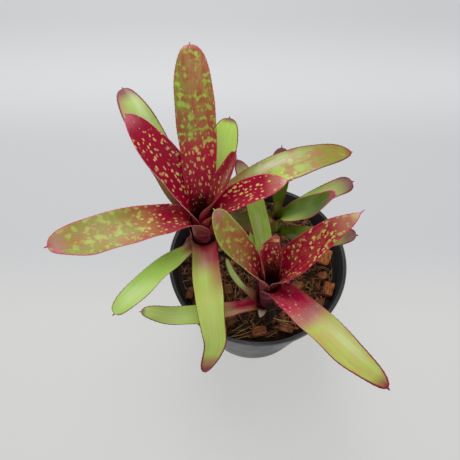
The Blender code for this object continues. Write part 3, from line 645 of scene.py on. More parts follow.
class Net:
    """A material's node tree that is written as a chain of calls."""

    def __init__(self, name):
        self.material = bpy.data.materials.new(name)
        self.material.use_nodes = True
        self.tree = self.material.node_tree
        self.shader = self.tree.nodes["Principled BSDF"]
        self.count = 0

    def add(self, kind, inputs=(), output=0, **settings):
        """Adds a node, joins or sets its inputs, and gives back one output."""
        node = self.tree.nodes.new("ShaderNode" + kind)
        self.count += 1
        node.location = (-1800 + 180 * (self.count % 9), 600 - 220 * (self.count // 9))
        for key, value in settings.items():
            setattr(node, key, value)
        pairs = inputs.items() if isinstance(inputs, dict) else enumerate(inputs)
        for key, value in pairs:
            self.feed(node.inputs[key], value)
        return node.outputs[output]

    def feed(self, socket, value):
        """Joins a socket to an output, or sets it to a constant."""
        if isinstance(value, bpy.types.NodeSocket):
            self.tree.links.new(value, socket)
        elif value is not None:
            socket.default_value = value

    def attribute(self, name, output="Vector"):
        """Reads one of the piece's own attributes."""
        return self.add("Attribute", output=output, attribute_name=name)

    def split(self, vector):
        """The three numbers of a vector."""
        return self.add("SeparateXYZ", [vector]).node.outputs

    def scaled(self, vector, scale):
        """The vector times a constant, axis by axis."""
        return self.add("VectorMath", {0: vector, 1: scale}, operation="MULTIPLY")

    def shifted(self, vector, offset):
        """The sum of two vectors."""
        return self.add("VectorMath", {0: vector, 1: offset}, operation="ADD")

    def maths(self, operation, first, second=None, third=None):
        """One arithmetic step."""
        return self.add("Math", {0: first, 1: second, 2: third}, operation=operation)

    def ramp(self, value, low, high, start=0.0, end=1.0):
        """An even ease from start at low to end at high."""
        return self.add("MapRange", {0: value, 1: low, 2: high, 3: start, 4: end},
                        interpolation_type="SMOOTHSTEP")

    def blend(self, amount, first, second, way="MIX"):
        """Mixes two colours."""
        return self.add("Mix", {0: amount, 6: first, 7: second}, output=2, data_type="RGBA", blend_type=way)

    def shaded(self, tint, shade):
        """The colour times a number."""
        return self.blend(1.0, tint, self.add("CombineXYZ", [shade, shade, shade]), "MULTIPLY")

    def noise(self, vector, detail=2.0, distortion=0.0, output=0, roughness=0.5):
        """Noise of about one lump to the unit."""
        inputs = {"Vector": vector, "Scale": 1.0, "Detail": detail, "Roughness": roughness,
                  "Distortion": distortion}
        return self.add("TexNoise", inputs, output)

    def finish(self, base, roughness, height=None, strength=0.3, depth=0.0002):
        """Joins colour, roughness and relief to the shader."""
        self.feed(self.shader.inputs["Base Color"], base)
        self.feed(self.shader.inputs["Roughness"], roughness)
        if height is not None:
            normal = self.add("Bump", {"Strength": strength, "Distance": depth, "Height": height})
            self.feed(self.shader.inputs["Normal"], normal)
        return self.material


def leaf_patches(net, wavy, lines, amount):
    """Large soft patches, broken up along the leaf."""
    patches = net.noise(net.scaled(wavy, (0.10, 0.17, 1.0)), 3.0)
    patches = net.maths("ADD", patches, net.maths("MULTIPLY", net.maths("SUBTRACT", lines, 0.5), 0.55))
    return net.maths("MULTIPLY", net.ramp(patches, 0.42, 0.60), amount)


def leaf_blotches(net, wavy, amount):
    """Irregular blotches, where the noise stands above a level that falls as the amount grows."""
    level = net.maths("MULTIPLY_ADD", amount, -0.22, 0.72)
    blotches = net.maths("SUBTRACT", net.noise(net.scaled(wavy, (0.24, 0.20, 1.0)), 1.5), level)
    return net.maths("MULTIPLY", net.ramp(blotches, -0.05, 0.07), net.ramp(amount, 0.0, 0.15))


def leaf_flecks(net, wavy, amount):
    """Small flecks, at most one to a cell, each of a size of its own."""
    cells = net.add("TexVoronoi", {"Vector": net.scaled(wavy, (0.26, 0.50, 1.0)), "Scale": 1.0},
                    voronoi_dimensions="2D")
    chance = net.split(cells.node.outputs["Color"])[0]
    radius = net.maths("MULTIPLY", net.maths("MULTIPLY_ADD", chance, 0.50, -0.10), amount)
    flecks = net.ramp(net.maths("SUBTRACT", cells, radius), -0.05, 0.08, 1.0, 0.0)
    return net.maths("MULTIPLY", flecks, net.ramp(radius, 0.03, 0.10))


def leaf_material():
    """Skin of every leaf, from its attributes: ground, patches, blotches, flecks, painted sheen highlights,
    rings and margin.

    The place attribute is in millimetres along and across the leaf, so a scale of 0.1 there gives
    lumps of about 10 mm. What runs along the leaf has a small scale along it and a large one across.
    """
    name = "leaf_skin"
    if name in bpy.data.materials:
        return bpy.data.materials[name]
    net = Net(name)
    place = net.attribute("leaf_place")
    fleck_amount, blotch_amount, patch_amount = net.split(net.attribute("leaf_amounts"))
    edge, back, bloom = net.split(net.attribute("leaf_edge"))
    wobble = net.noise(net.scaled(place, (0.45, 0.7, 1.0)), 2.0, output=1)
    wobble = net.scaled(net.shifted(wobble, (-0.5, -0.5, -0.5)), (2.4, 1.6, 0.0))
    wavy = net.shifted(place, wobble)

    lines = net.noise(net.scaled(place, (0.05, 0.9, 1.0)), 2.0)
    patches = leaf_patches(net, wavy, lines, patch_amount)
    skin = net.blend(patches, net.attribute("leaf_ground", "Color"), net.attribute("leaf_second", "Color"))

    blotches = leaf_blotches(net, wavy, blotch_amount)
    flecks = leaf_flecks(net, wavy, fleck_amount)
    fade = net.ramp(net.noise(net.scaled(place, (0.22, 0.3, 1.0)), 2.0), 0.3, 0.65, 0.55, 1.0)
    spots = net.maths("MULTIPLY", net.maths("MAXIMUM", blotches, flecks), fade)
    skin = net.blend(spots, skin, net.attribute("leaf_spot", "Color"))

    veins = net.noise(net.scaled(place, (0.02, 2.6, 1.0)), 2.0)
    skin = net.shaded(skin, net.ramp(veins, 0.3, 0.7, 0.92, 1.07))
    # Painted highlight: a pale sheen where the leaf catches the light, broken into lengthwise streaks
    sheen_mask = net.maths("MULTIPLY", bloom, net.ramp(lines, 0.25, 0.6, 0.35, 1.0))
    skin = net.blend(sheen_mask, skin, opaque(PAINTED_SHEEN))

    rings = net.noise(net.scaled(place, (0.9, 0.07, 1.0)), 2.0, distortion=0.6)
    rings = net.maths("MULTIPLY", net.ramp(rings, 0.5, 0.62), net.attribute("leaf_collar", "Fac"))
    skin = net.blend(rings, skin, opaque(WRINKLE))

    rim = net.maths("ADD", edge, net.maths("MULTIPLY", net.noise(net.scaled(place, (0.5, 0.5, 1.0))), 0.5))
    skin = net.blend(net.ramp(rim, 0.6, 1.35, 1.0, 0.0), skin, net.attribute("leaf_rim", "Color"))

    net.shader.inputs["Specular IOR Level"].default_value = 0.22
    return net.finish(skin, net.ramp(back, 0.0, 1.0, 0.30, 0.45), veins, 0.35, 0.0002)


def sheath_cover(theta, leaf):
    """How much of a whole sheath the leaf lays over the tube at azimuth theta, fading past its margins."""
    away = np.abs((theta - leaf.azimuth - leaf.turn + 180.0) % 360.0 - 180.0)
    return smooth_step((leaf.wrap + 2.0 + SHEATH_FADE - away) / SHEATH_FADE)


def with_feet(leaves):
    """The leaves with their sheaths' feet staggered up the stem, the youngest highest."""
    last = len(leaves) - 1
    return [replace(leaf, foot_level=round(HIGHEST_FOOT * (last - place) / last))
            for place, leaf in enumerate(leaves)]


def sheath_begun(leaf, height):
    """0 below the level under the sheath's foot and 1 from its foot up."""
    if leaf.foot_level == 0:
        return 1.0
    below, foot = SHEATH_LEVELS[leaf.foot_level - 1:leaf.foot_level + 1]
    return np.clip((height - SHEATH_BOTTOM - below) / (foot - below), 0.0, 1.0)


def sheath_radius(rosette, younger, theta, height):
    """Radius of a sheath: the core's radius and one pitch for each younger sheath under it."""
    rise = smooth_step((height - MIX_LEVEL) / (rosette.top - MIX_LEVEL))
    radius = rosette.foot_radius + (rosette.top_radius - rosette.foot_radius) * rise
    for leaf in younger:
        radius = radius + SHEATH_PITCH * sheath_cover(theta, leaf) * sheath_begun(leaf, height)
    return radius


def blade_directions(leaf, along):
    """Tangent, lateral and upper-face directions of the blade's midrib at distances along it."""
    part = along / leaf.length
    bend = np.clip(part, 0, 1.1) ** 1.6
    lean = np.radians(leaf.lean * smooth_step(along / leaf.flare) + (leaf.tip_lean - leaf.lean) * bend)
    heading = np.radians(leaf.azimuth + leaf.sweep * part)
    tangent = np.stack([np.sin(lean) * np.cos(heading), np.sin(lean) * np.sin(heading), np.cos(lean)], -1)
    lateral = np.stack([-np.sin(heading), np.cos(heading), np.zeros_like(heading)], -1)
    upper = -np.cross(lateral, tangent)
    roll = np.radians(leaf.roll) * smooth_step(part * 1.6)[:, None]
    cos, sin = np.cos(roll), np.sin(roll)
    return tangent, lateral * cos + upper * sin, upper * cos - lateral * sin


def along_line(values, places, points):
    """Points of a line at the given values, from its points at known places."""
    return np.stack([np.interp(values, places, points[:, axis]) for axis in range(3)], -1)


def blade_midrib(leaf, start, along):
    """Points of the midrib, by adding up its tangent from the neck in fine steps."""
    fine = np.linspace(0.0, leaf.length + leaf.mucro, MIDRIB_STEPS)
    tangent = blade_directions(leaf, fine)[0]
    steps = 0.5 * (tangent[1:] + tangent[:-1]) * (fine[1] - fine[0])
    return along_line(along, fine, start + np.concatenate([np.zeros((1, 3)), np.cumsum(steps, axis=0)]))


def blade_rows(leaf, spacing):
    """Distances of the blade's rows from the neck, closer together towards the tip."""
    part = np.linspace(0.0, 1.0, round(leaf.length / spacing))
    part = part + 0.45 * np.sin(math.pi * part) / math.pi
    return np.append(part * leaf.length, leaf.length + leaf.mucro * np.array((0.35, 0.7, 1.0)))


def blade_width(leaf, part, along, neck_width):
    """Half widths of the blade: the sheath's at the neck, then its own, narrowing to a small point."""
    half = 0.5 * leaf.width
    full = half * (leaf.base + (1.0 - leaf.base) * smooth_step(part / 0.55))
    full = full + (neck_width - half * leaf.base) * (1.0 - smooth_step(1.5 * along / leaf.curl))
    narrowing = np.clip((part - leaf.taper) / (1.0 - leaf.taper), 0.0, 1.0)
    width = np.maximum(full * (1.0 - narrowing ** leaf.fullness) ** leaf.blunt, SMALLEST_HALF_WIDTH)
    width[-3:] = SMALLEST_HALF_WIDTH * np.array((0.85, 0.6, 0.15))
    return full, width


def leaf_grid(leaf, rosette, younger, spacing, columns):
    """The leaf's middle surface as a grid, rows from the foot to the tip and columns across.

    In the sheath a row is an arc of the tube. In the blade it is an arc about the midrib whose radius
    grows as the blade opens from the tube into a shallow channel. Gives the grid, each row's distance
    from the neck, negative in the sheath, and each column's place from -1 to 1.
    """
    even = np.linspace(-1.0, 1.0, columns)
    across = 0.35 * even + 0.65 * np.sin(0.5 * math.pi * even)
    azimuth = math.radians(leaf.azimuth)
    turn = math.radians(leaf.turn)
    neck_radius = float(sheath_radius(rosette, younger, leaf.azimuth, leaf.neck))
    neck_wrap = math.radians(leaf.neck_wrap)

    along = blade_rows(leaf, spacing)
    part = np.clip(along / leaf.length, 0.0, 1.0)
    direction = np.array([math.cos(azimuth), math.sin(azimuth), 0.0])
    start = np.array([rosette.x, rosette.y, leaf.neck]) + neck_radius * direction
    midrib = blade_midrib(leaf, start, along)
    _, lateral, upper = blade_directions(leaf, along)

    full, width = blade_width(leaf, part, along, neck_radius * neck_wrap)
    opening = neck_wrap + (math.radians(FREE_OPENING) - neck_wrap) * smooth_step(along / leaf.curl)
    opening = opening - math.radians(TIP_FLATTENING) * smooth_step((part - 0.3) / 0.7)
    radius = full / opening
    twist = turn * (1.0 - smooth_step(along / TURN_FADE))
    angle = (width / radius)[:, None] * across[None, :] + twist[:, None]
    skew = leaf.skew * (0.5 * leaf.width) * smooth_step((part - 0.72) / 0.28)
    sideways = np.sin(angle) * radius[:, None] + skew[:, None]
    inward = (1.0 - np.cos(angle)) * radius[:, None]
    blade = midrib[:, None] + sideways[..., None] * lateral[:, None] + inward[..., None] * upper[:, None]
    outward = np.sin(angle)[..., None] * lateral[:, None] - np.cos(angle)[..., None] * upper[:, None]
    over = sheath_radius(rosette, younger, leaf.azimuth + np.degrees(angle), midrib[:, 2:]) - neck_radius
    blade = blade + (over * (1.0 - smooth_step(along / OVERLAP_FADE))[:, None])[..., None] * outward

    foot = SHEATH_BOTTOM + SHEATH_LEVELS[leaf.foot_level]
    height = np.linspace(foot, leaf.neck, max(3, round((leaf.neck - foot) / SHEATH_ROW)))[:-1, None]
    rise = smooth_step((height - height[0]) / (leaf.neck - height[0]))
    wrap = math.radians(leaf.wrap) + (neck_wrap - math.radians(leaf.wrap)) * rise
    theta = azimuth + turn + wrap * across[None, :]
    tube = sheath_radius(rosette, younger, np.degrees(theta), height)
    sheath = np.stack([rosette.x + tube * np.cos(theta), rosette.y + tube * np.sin(theta),
                       np.broadcast_to(height, theta.shape)], -1)
    return np.concatenate([sheath, blade]), np.append(height[:, 0] - leaf.neck, along), across


def shell_quads(rows, columns):
    """Four-sided faces of a closed shell: its upper grid, its lower grid and the four edges between."""
    upper = np.arange(rows * columns).reshape(rows, columns)
    lower = upper + rows * columns
    faces = faces_of(upper[:-1, :-1], upper[1:, :-1], upper[1:, 1:], upper[:-1, 1:])
    faces += faces_of(lower[:-1, :-1], lower[:-1, 1:], lower[1:, 1:], lower[1:, :-1])
    edges = ((upper[::-1, 0], lower[::-1, 0]), (upper[:, -1], lower[:, -1]),
             (upper[0], lower[0]), (upper[-1, ::-1], lower[-1, ::-1]))
    for near, far in edges:
        faces += faces_of(near[:-1], near[1:], far[1:], far[:-1])
    return faces


def read_colours(stops, part, across, palette):
    """Colours over a grid, eased between stops along the blade and between three places across it."""
    places = np.array([stop[0] for stop in stops])
    table = np.array([[palette[name] for name in (stop[1:] if len(stop) > 2 else stop[1:] * 3)]
                      for stop in stops])
    index = np.clip(np.searchsorted(places, part, side="right") - 1, 0, len(stops) - 2)
    low, high = places[index], places[index + 1]
    rows = mixed(table[index], table[index + 1], smooth_step((part - low) / (high - low))[:, None, None])
    right = np.clip(-across, 0.0, 1.0)
    left = np.clip(across, 0.0, 1.0)
    return np.einsum("cw,rwk->rck", np.stack([right, 1.0 - right - left, left], -1), rows)


def spines(edge, inner, normal, along, low, high, pitch, reach):
    """Small pyramids along one margin, each leaning to the tip, and the row that each one stands on."""
    line = np.concatenate([[0.0], np.cumsum(np.linalg.norm(np.diff(edge, axis=0), axis=1))])
    first, last = np.interp((low, high), along, line)
    spots = np.arange(first, last, pitch)
    rows = np.clip(np.searchsorted(line, spots), 1, len(line) - 2)
    root = along_line(spots, line, edge)
    forward = unit(edge[rows + 1] - edge[rows - 1])
    out = unit(edge[rows] - inner[rows])
    out = unit(out - forward * np.sum(out * forward, -1, keepdims=True))
    up = 0.1 * normal[rows]
    root = root - 0.12 * out
    tip = root + reach * (out + 0.55 * forward)
    corners = np.stack([root - 0.28 * forward, root + up, root + 0.32 * forward, root - up, tip], 1)
    flip = np.sum(np.cross(forward, up) * out, -1) > 0
    shape = np.array(((0, 1, 4), (1, 2, 4), (2, 3, 4), (3, 0, 4), (0, 3, 2), (0, 2, 1)))
    faces = np.where(flip[:, None, None], shape[None, :, ::-1], shape[None])
    faces = faces + 5 * np.arange(len(spots))[:, None, None]
    return corners.reshape(-1, 3), faces.reshape(-1, 3).tolist(), np.repeat(rows, 5)


def ripples(along, across, number, reach):
    """Waves of the free blade's margins, in a pattern of its own for each leaf number."""
    free = smooth_step((along - 10.0) / 25.0)[:, None]
    margins = np.sin(along / 4.1 + 2.1 * number)[:, None] * across ** 3
    cup = 0.6 * np.sin(along / 6.7 + 1.3 * number)[:, None] * across ** 2
    return reach * free * (margins + cup)


def leaf_thickness(leaf, along, across, sizes):
    """Thickness over the grid in millimetres: full in the middle, thin at the margins and the tip."""
    blade = smooth_step(along / 20.0) * (1.0 - 0.5 * smooth_step(along / leaf.length))
    middle = (sizes.sheath + (sizes.blade - sizes.sheath) * blade) / MM
    margin = sizes.margin / MM
    thick = margin + (middle[:, None] - margin) * np.sqrt(1.0 - across ** 2)
    thick[-len(TIP_THINNING):] *= np.array(TIP_THINNING)[:, None]
    return thick


def unrolled(grid, leaf, along, number):
    """Each point's place on the leaf laid flat, along and across, and how far it lies from the edge."""
    steps = np.linalg.norm(np.diff(grid, axis=1), axis=-1)
    run = np.concatenate([np.zeros((len(grid), 1)), np.cumsum(steps, axis=1)], 1)
    sideways = run - run[:, grid.shape[1] // 2][:, None]
    shifted = np.broadcast_to(along[:, None] + LEAF_SHIFT * number, run.shape)
    to_tip = (leaf.length + leaf.mucro - along)[:, None]
    inset = np.minimum(np.minimum(run, run[:, -1:] - run), 0.5 * to_tip)
    return np.stack([shifted, sideways, np.zeros_like(run)], -1), inset


def bloom_over(blooms, part, across):
    """Strength of the painted sheen, a painted highlight, over the grid: the sum of the skin's sheen patches.
    """
    bloom = np.zeros((len(part), len(across)))
    for place_along, place_across, half_long, half_wide, strength in blooms:
        away = ((part[:, None] - place_along) / half_long) ** 2
        away = away + ((across[None] - place_across) / half_wide) ** 2
        bloom = bloom + strength * np.exp(-away)
    return bloom


def both_faces(upper, lower):
    """Values of the upper face's points and then of the lower face's."""
    return np.concatenate([upper.reshape(-1, upper.shape[-1]), lower.reshape(-1, lower.shape[-1])])


def both_colours(upper, lower):
    """Colours of both faces' points, with full alpha."""
    values = both_faces(upper, lower)
    return np.concatenate([values, np.ones((len(values), 1))], 1)


def leaf_attributes(grid, leaf, skin, along, across, number, palette):
    """What the leaf material reads at each point of both faces."""
    rows, columns = grid.shape[:2]
    part = along / leaf.length
    on_blade = np.clip(part, 0.0, 1.0)

    def eased(start, distance):
        return smooth_step((along - start) / distance)[:, None, None]

    ground = read_colours(skin.ground, on_blade, across, palette)
    # Partly painted shade: below the neck the inner face darkens to the inside colour deeper in the cup
    ground = mixed(ground, palette[skin.inside], smooth_step(-along / 18.0)[:, None, None])
    low, high = (palette[shade] for shade in skin.outside)
    outside = mixed(low, high, eased(-30.0, 30.0))
    under = mixed(outside, 0.6 * ground + 0.4 * palette["olive_green"], eased(0.0, 14.0))
    even = np.ones((rows, columns, 1))
    second = even * palette[skin.second]
    rims = even * mixed(palette[skin.lip], palette[skin.rim], eased(6.0, 14.0))
    spots = read_colours(skin.spot, on_blade, across, palette)

    fifths = np.linspace(0.0, 1.0, 5)
    tables = (skin.fleck, skin.blotch, skin.patch)
    amounts = np.stack([np.interp(part, fifths, table) for table in tables], -1)
    amounts[:, :2] = amounts[:, :2] * eased(-12.0, 12.0)[:, 0]
    amounts = np.broadcast_to(amounts[:, None], (rows, columns, 3))
    place, inset = unrolled(grid, leaf, along, number)
    width = np.interp(part, (0.0, 0.5, 1.0), skin.rim_width) * smooth_step((along + 16.0) / 10.0) + 1e-3
    # Painted highlight: the sheen's strength, kept at 0.3 of it on the lower face
    bloom = bloom_over(skin.bloom, part, across)
    edge = np.stack([inset / width[:, None], np.zeros_like(inset), bloom], -1)
    edge_under = edge * np.array((1.0, 0.0, 0.3)) + np.array((0.0, 1.0, 0.0))
    collar = skin.collar * np.exp(-((along + 7.0) / 7.0) ** 2)
    collar = np.broadcast_to(collar[:, None, None], (rows, columns, 1))
    return {
        "leaf_place": both_faces(place, place + np.array((UNDERSIDE_SHIFT, 0.0, 0.0))),
        "leaf_ground": both_colours(ground, under),
        "leaf_second": both_colours(second, 0.5 * (second + under)),
        "leaf_spot": both_colours(spots, 0.6 * spots + 0.4 * under),
        "leaf_rim": both_colours(rims, rims),
        "leaf_amounts": both_faces(amounts, 0.6 * amounts),
        "leaf_edge": both_faces(edge, edge_under),
        "leaf_collar": both_faces(0.3 * collar, collar),
    }


def make_leaf(name, leaf, skin, rosette, younger, number, node):
    """One leaf: a shell about its middle surface, thin at the margins and the tip, with spines."""
    settings = bpy.context.scene.bromeliad
    sizes = settings.leaf
    palette = {key: np.array(getattr(settings.colours, key)) for key in LeafColours.__annotations__}
    grid, along, across = leaf_grid(leaf, rosette, younger, sizes.row / MM, sizes.columns)
    normal = unit(np.cross(np.gradient(grid, axis=0), np.gradient(grid, axis=1)))
    grid = grid + ripples(along, across, number, sizes.ripple / MM)[..., None] * normal
    rows, columns = grid.shape[:2]
    lift = (0.5 * leaf_thickness(leaf, along, across, sizes))[..., None] * normal
    vertices = both_faces(grid + lift, grid - lift)
    attributes = leaf_attributes(grid, leaf, skin, along, across, number, palette)
    faces = shell_quads(rows, columns)
    start = np.arange(rows * columns).reshape(rows, columns)
    for column, inner in ((0, 2), (columns - 1, columns - 3)):
        points, sides, on_row = spines(grid[:, column], grid[:, inner], normal[:, column], along, 3.0,
                                       leaf.length - 1.0, sizes.spine_pitch / MM, sizes.spine / MM)
        faces += [[corner + len(vertices) for corner in side] for side in sides]
        vertices = np.concatenate([vertices, points])
        source = start[on_row, column]
        attributes = {key: np.concatenate([values, values[source]]) for key, values in attributes.items()}
    piece = make_piece(name, vertices, faces, leaf_material(), [node], attributes)
    set_smooth(piece, np.array([len(face) == 4 for face in faces]))


def make_rosette(rosette, leaves, skins, slots, first):
    """All leaves of one rosette, numbered on from the leaves before them."""
    leaves = with_feet(leaves)
    for number, (leaf, skin, slot) in enumerate(zip(leaves, skins, slots), start=1):
        node = f"{rosette.name}_leaf_{number:02d}"
        make_leaf(f"fine_{node}", leaf, skin, rosette, leaves[:number - 1], first + number, node)


class BROMELIAD_OT_mother(bpy.types.Operator):
    """Makes the ten leaves of the tall mother rosette"""

    bl_idname = "bromeliad.mother"
    bl_label = "Mother leaves"

    def execute(self, context):
        slots = ("leaf_crimson", "leaf_mottled", "leaf_crimson", "leaf_crimson", "leaf_mottled",
                 "leaf_mottled", "leaf_green", "leaf_green", "leaf_green", "leaf_green")
        make_rosette(MOTHER, MOTHER_LEAVES, MOTHER_SKINS, slots, 0)
        return {"FINISHED"}


class BROMELIAD_OT_daughter(bpy.types.Operator):
    """Makes the eight leaves and the dry scale of the daughter rosette"""

    bl_idname = "bromeliad.daughter"
    bl_label = "Daughter leaves"

    def execute(self, context):
        slots = ("leaf_crimson", "leaf_crimson", "leaf_mottled") + ("leaf_green",) * 5
        make_rosette(DAUGHTER, DAUGHTER_LEAVES, DAUGHTER_SKINS, slots, 10)
        make_leaf("fine_dry_scale", DRY_SCALE, DRY_SKIN, DAUGHTER, with_feet(DAUGHTER_LEAVES), 24,
                  "daughter_dry_scale")
        return {"FINISHED"}


class BROMELIAD_OT_pup(bpy.types.Operator):
    """Makes the five leaves of the young pup"""

    bl_idname = "bromeliad.pup"
    bl_label = "Pup leaves"

    def execute(self, context):
        slots = ("leaf_olive", "leaf_olive", "leaf_green", "leaf_olive", "leaf_green")
        make_rosette(PUP, PUP_LEAVES, PUP_SKINS, slots, 18)
        return {"FINISHED"}


class BROMELIAD_OT_stems(bpy.types.Operator):
    """Gives the three stems their fibrous skin"""

    bl_idname = "bromeliad.stems"
    bl_label = "Stems"

    def execute(self, context):
        net = Net("stem_skin")
        place = net.add("TexCoord", output="Object")
        strings = net.noise(net.scaled(place, (900.0, 900.0, 90.0)), 3.0)
        tint = net.blend(net.ramp(strings, 0.35, 0.65), opaque(STEM_DARK), opaque(STEM_BROWN))
        material = net.finish(tint, 0.6, strings, 0.4, 0.0003)
        for rosette in ROSETTES:
            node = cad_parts[f"{rosette.name}_stem"]
            node.data.materials.clear()
            node.data.materials.append(material)
        return {"FINISHED"}


def spun(profile, sides):
    """A closed profile of (radius, height) points turned about Z; a point on the axis is one vertex."""
    turns = ring_of(sides)
    vertices = []
    rings = []
    count = 0
    for radius, height in profile:
        points = 1 if radius < 1e-6 else sides
        rings.append(np.arange(count, count + sides) if points > 1 else np.full(sides, count))
        ring = np.stack([radius * np.cos(turns), radius * np.sin(turns), np.full(sides, height)], -1)
        vertices.append(ring if points > 1 else np.array([[0.0, 0.0, height]]))
        count += points
    faces = []
    for ring, above in zip(rings, rings[1:] + rings[:1]):
        after, above_after = np.roll(ring, -1), np.roll(above, -1)
        if ring[0] == ring[1] and above[0] == above[1]:
            continue
        if ring[0] == ring[1]:
            faces += faces_of(ring, above_after, above)
        elif above[0] == above[1]:
            faces += faces_of(ring, after, above)
        else:
            faces += faces_of(ring, after, above_after, above)
    return np.concatenate(vertices), faces


def arc(centre, radius, start, end, points):
    """Points of an arc in the (radius, height) plane."""
    angles = np.radians(np.linspace(start, end, points))
    return [(centre[0] + radius * math.cos(a), centre[1] + radius * math.sin(a)) for a in angles]


def outer_wall_radius(height):
    """Radius of the pot's outer wall, a straight taper from the foot to the rim."""
    return FOOT_RADIUS + (WALL_TOP_RADIUS - FOOT_RADIUS) * height / (POT_HEIGHT - RIM_DEPTH)


def inner_wall_radius(height):
    """Radius of the pot's inner wall."""
    return outer_wall_radius(height) - WALL


def pot_profile():
    """Points of the pot's section, from the middle of its foot out, over the rim and back inside."""
    skirt = POT_HEIGHT - RIM_DEPTH
    inner_rim = RIM_RADIUS - RIM_WIDTH
    profile = [(0.0, 0.0), (20.0, 0.0), (FOOT_RADIUS - 1.0, 0.0)]
    profile += arc((FOOT_RADIUS - 0.9, 1.0), 1.0, -90, -10, 5)
    profile += [(outer_wall_radius(height), height) for height in np.linspace(2.5, skirt - 0.4, 24)]
    profile += [(outer_wall_radius(skirt), skirt)]
    profile += arc((RIM_RADIUS - 0.9, skirt + 0.5), 0.5, -90, -5, 4)
    profile += [(RIM_RADIUS - 0.3, skirt + 2.5), (RIM_RADIUS - 0.15, skirt + 4.5)]
    profile += arc((RIM_RADIUS - 0.7, POT_HEIGHT - 0.6), 0.6, 0, 160, 8)
    profile += [(RIM_RADIUS - 1.4, POT_HEIGHT - 0.55), (RIM_RADIUS - 1.65, POT_HEIGHT - 0.55)]
    profile += arc((inner_rim + 0.55, POT_HEIGHT - 0.75), 0.5, 40, 170, 6)
    profile += [(inner_rim - 0.1, POT_HEIGHT - 1.6)]
    profile += [(inner_wall_radius(height), height) for height in np.linspace(skirt - 2.0, FLOOR + 1.0, 12)]
    profile += [(inner_wall_radius(FLOOR) - 1.0, FLOOR), (0.0, FLOOR)]
    return profile


def pot_material(plastic):
    """Charcoal plastic with rubbed and dusty patches and a fine grain."""
    net = Net("pot_plastic")
    place = net.add("TexCoord", output="Object")
    grain = net.noise(net.scaled(place, (1400.0, 1400.0, 1400.0)), 2.0)
    rubs = net.noise(net.scaled(place, (60.0, 60.0, 25.0)), 4.0)
    dust = net.noise(net.scaled(place, (220.0, 220.0, 90.0)), 5.0, roughness=0.7)
    tint = net.blend(net.ramp(rubs, 0.35, 0.75, 0.0, 0.5), (*plastic, 1), opaque(POT_RUB))
    tint = net.blend(net.ramp(dust, 0.55, 0.8, 0.0, 0.25), tint, opaque(POT_DUST))
    return net.finish(tint, net.ramp(rubs, 0.3, 0.7, 0.34, 0.5), grain, 0.12, 0.0002)


def pot_cutters():
    """A rod for each drain hole and a block for each notch of the foot."""
    low, high = -CUT_OVERLAP, FLOOR + CUT_OVERLAP
    rod, rod_faces = spun(((0.0, low), (DRAIN_RADIUS, low), (DRAIN_RADIUS, high), (0.0, high)), 32)
    block_faces = ((3, 2, 1, 0), (4, 5, 6, 7), (0, 1, 5, 4), (1, 2, 6, 5), (2, 3, 7, 6), (3, 0, 4, 7))
    signs = ((-1, -1), (1, -1), (1, 1), (-1, 1))
    cutters = []
    for index in range(DRAIN_COUNT):
        turn = math.radians(FIRST_NOTCH + 360.0 * index / DRAIN_COUNT)
        out = np.array([math.cos(turn), math.sin(turn), 0.0])
        side = np.array([-math.sin(turn), math.cos(turn), 0.0])
        cutters.append(add_object(f"drain_{index}", rod + DRAIN_RING * out, rod_faces))
        corners = [FOOT_RADIUS * out + sx * NOTCH_DEPTH * out + sy * 0.5 * NOTCH_WIDTH * side
                   + np.array([0, 0, z]) for z in (low, NOTCH_HEIGHT) for sx, sy in signs]
        cutters.append(add_object(f"notch_{index}", corners, block_faces))
    return cutters


class BROMELIAD_OT_pot(bpy.types.Operator):
    """Makes the pot with its rolled rim, wall, foot notches and drain holes"""

    bl_idname = "bromeliad.pot"
    bl_label = "Pot"

    def execute(self, context):
        settings = context.scene.bromeliad.pot
        vertices, faces = spun(pot_profile(), settings.sides)
        pot = make_piece("fine_pot", vertices, faces, pot_material(settings.plastic), ["pot"])
        cutters = pot_cutters()
        for tool in cutters:
            boolean = pot.modifiers.new("cut", "BOOLEAN")
            boolean.operation = "DIFFERENCE"
            boolean.object = tool
        depsgraph = context.evaluated_depsgraph_get()
        mesh = bpy.data.meshes.new_from_object(pot.evaluated_get(depsgraph), depsgraph=depsgraph)
        pot.modifiers.clear()
        pot.data = mesh
        set_smooth(pot, True)
        mesh.set_sharp_from_angle(angle=math.radians(40))
        for tool in cutters:
            bpy.data.objects.remove(tool, do_unlink=True)
        return {"FINISHED"}


def lumps(x, y, count, size, seed):
    """Sum of seeded round bumps over the mix, each from -1 to 1."""
    draw = np.random.default_rng(seed)
    turn = draw.uniform(0.0, FULL_TURN, count)
    out = LUMP_REACH * np.sqrt(draw.random(count))
    spread = draw.uniform(0.6 * size, 1.3 * size, count)
    rise = draw.uniform(-1.0, 1.0, count)
    square = (x[..., None] - out * np.cos(turn)) ** 2 + (y[..., None] - out * np.sin(turn)) ** 2
    return np.sum(rise * np.exp(-square / spread ** 2), -1)


def mix_height(x, y, settings):
    """The mix's surface: a level with seeded lumps and finer crumbs, flatter at the stems and chips."""
    rough = np.ones_like(x)
    for rosette in ROSETTES:
        away = np.hypot(x - rosette.x, y - rosette.y)
        rough = rough * smooth_step((away - STEM_FLAT) / STEM_FADE)
    for chip in HUSK_CHIPS:
        away = np.hypot(x - chip.x, y - chip.y)
        rough = rough * (0.3 + 0.7 * smooth_step((away - 0.6 * chip.long) / 5.0))
    big = np.tanh(lumps(x, y, 90, 6.0, settings.seed))
    small = np.tanh(lumps(x, y, 900, 1.6, settings.seed + 1))
    return MIX_LEVEL + settings.relief / MM * rough * (0.8 * big + 0.5 * small)


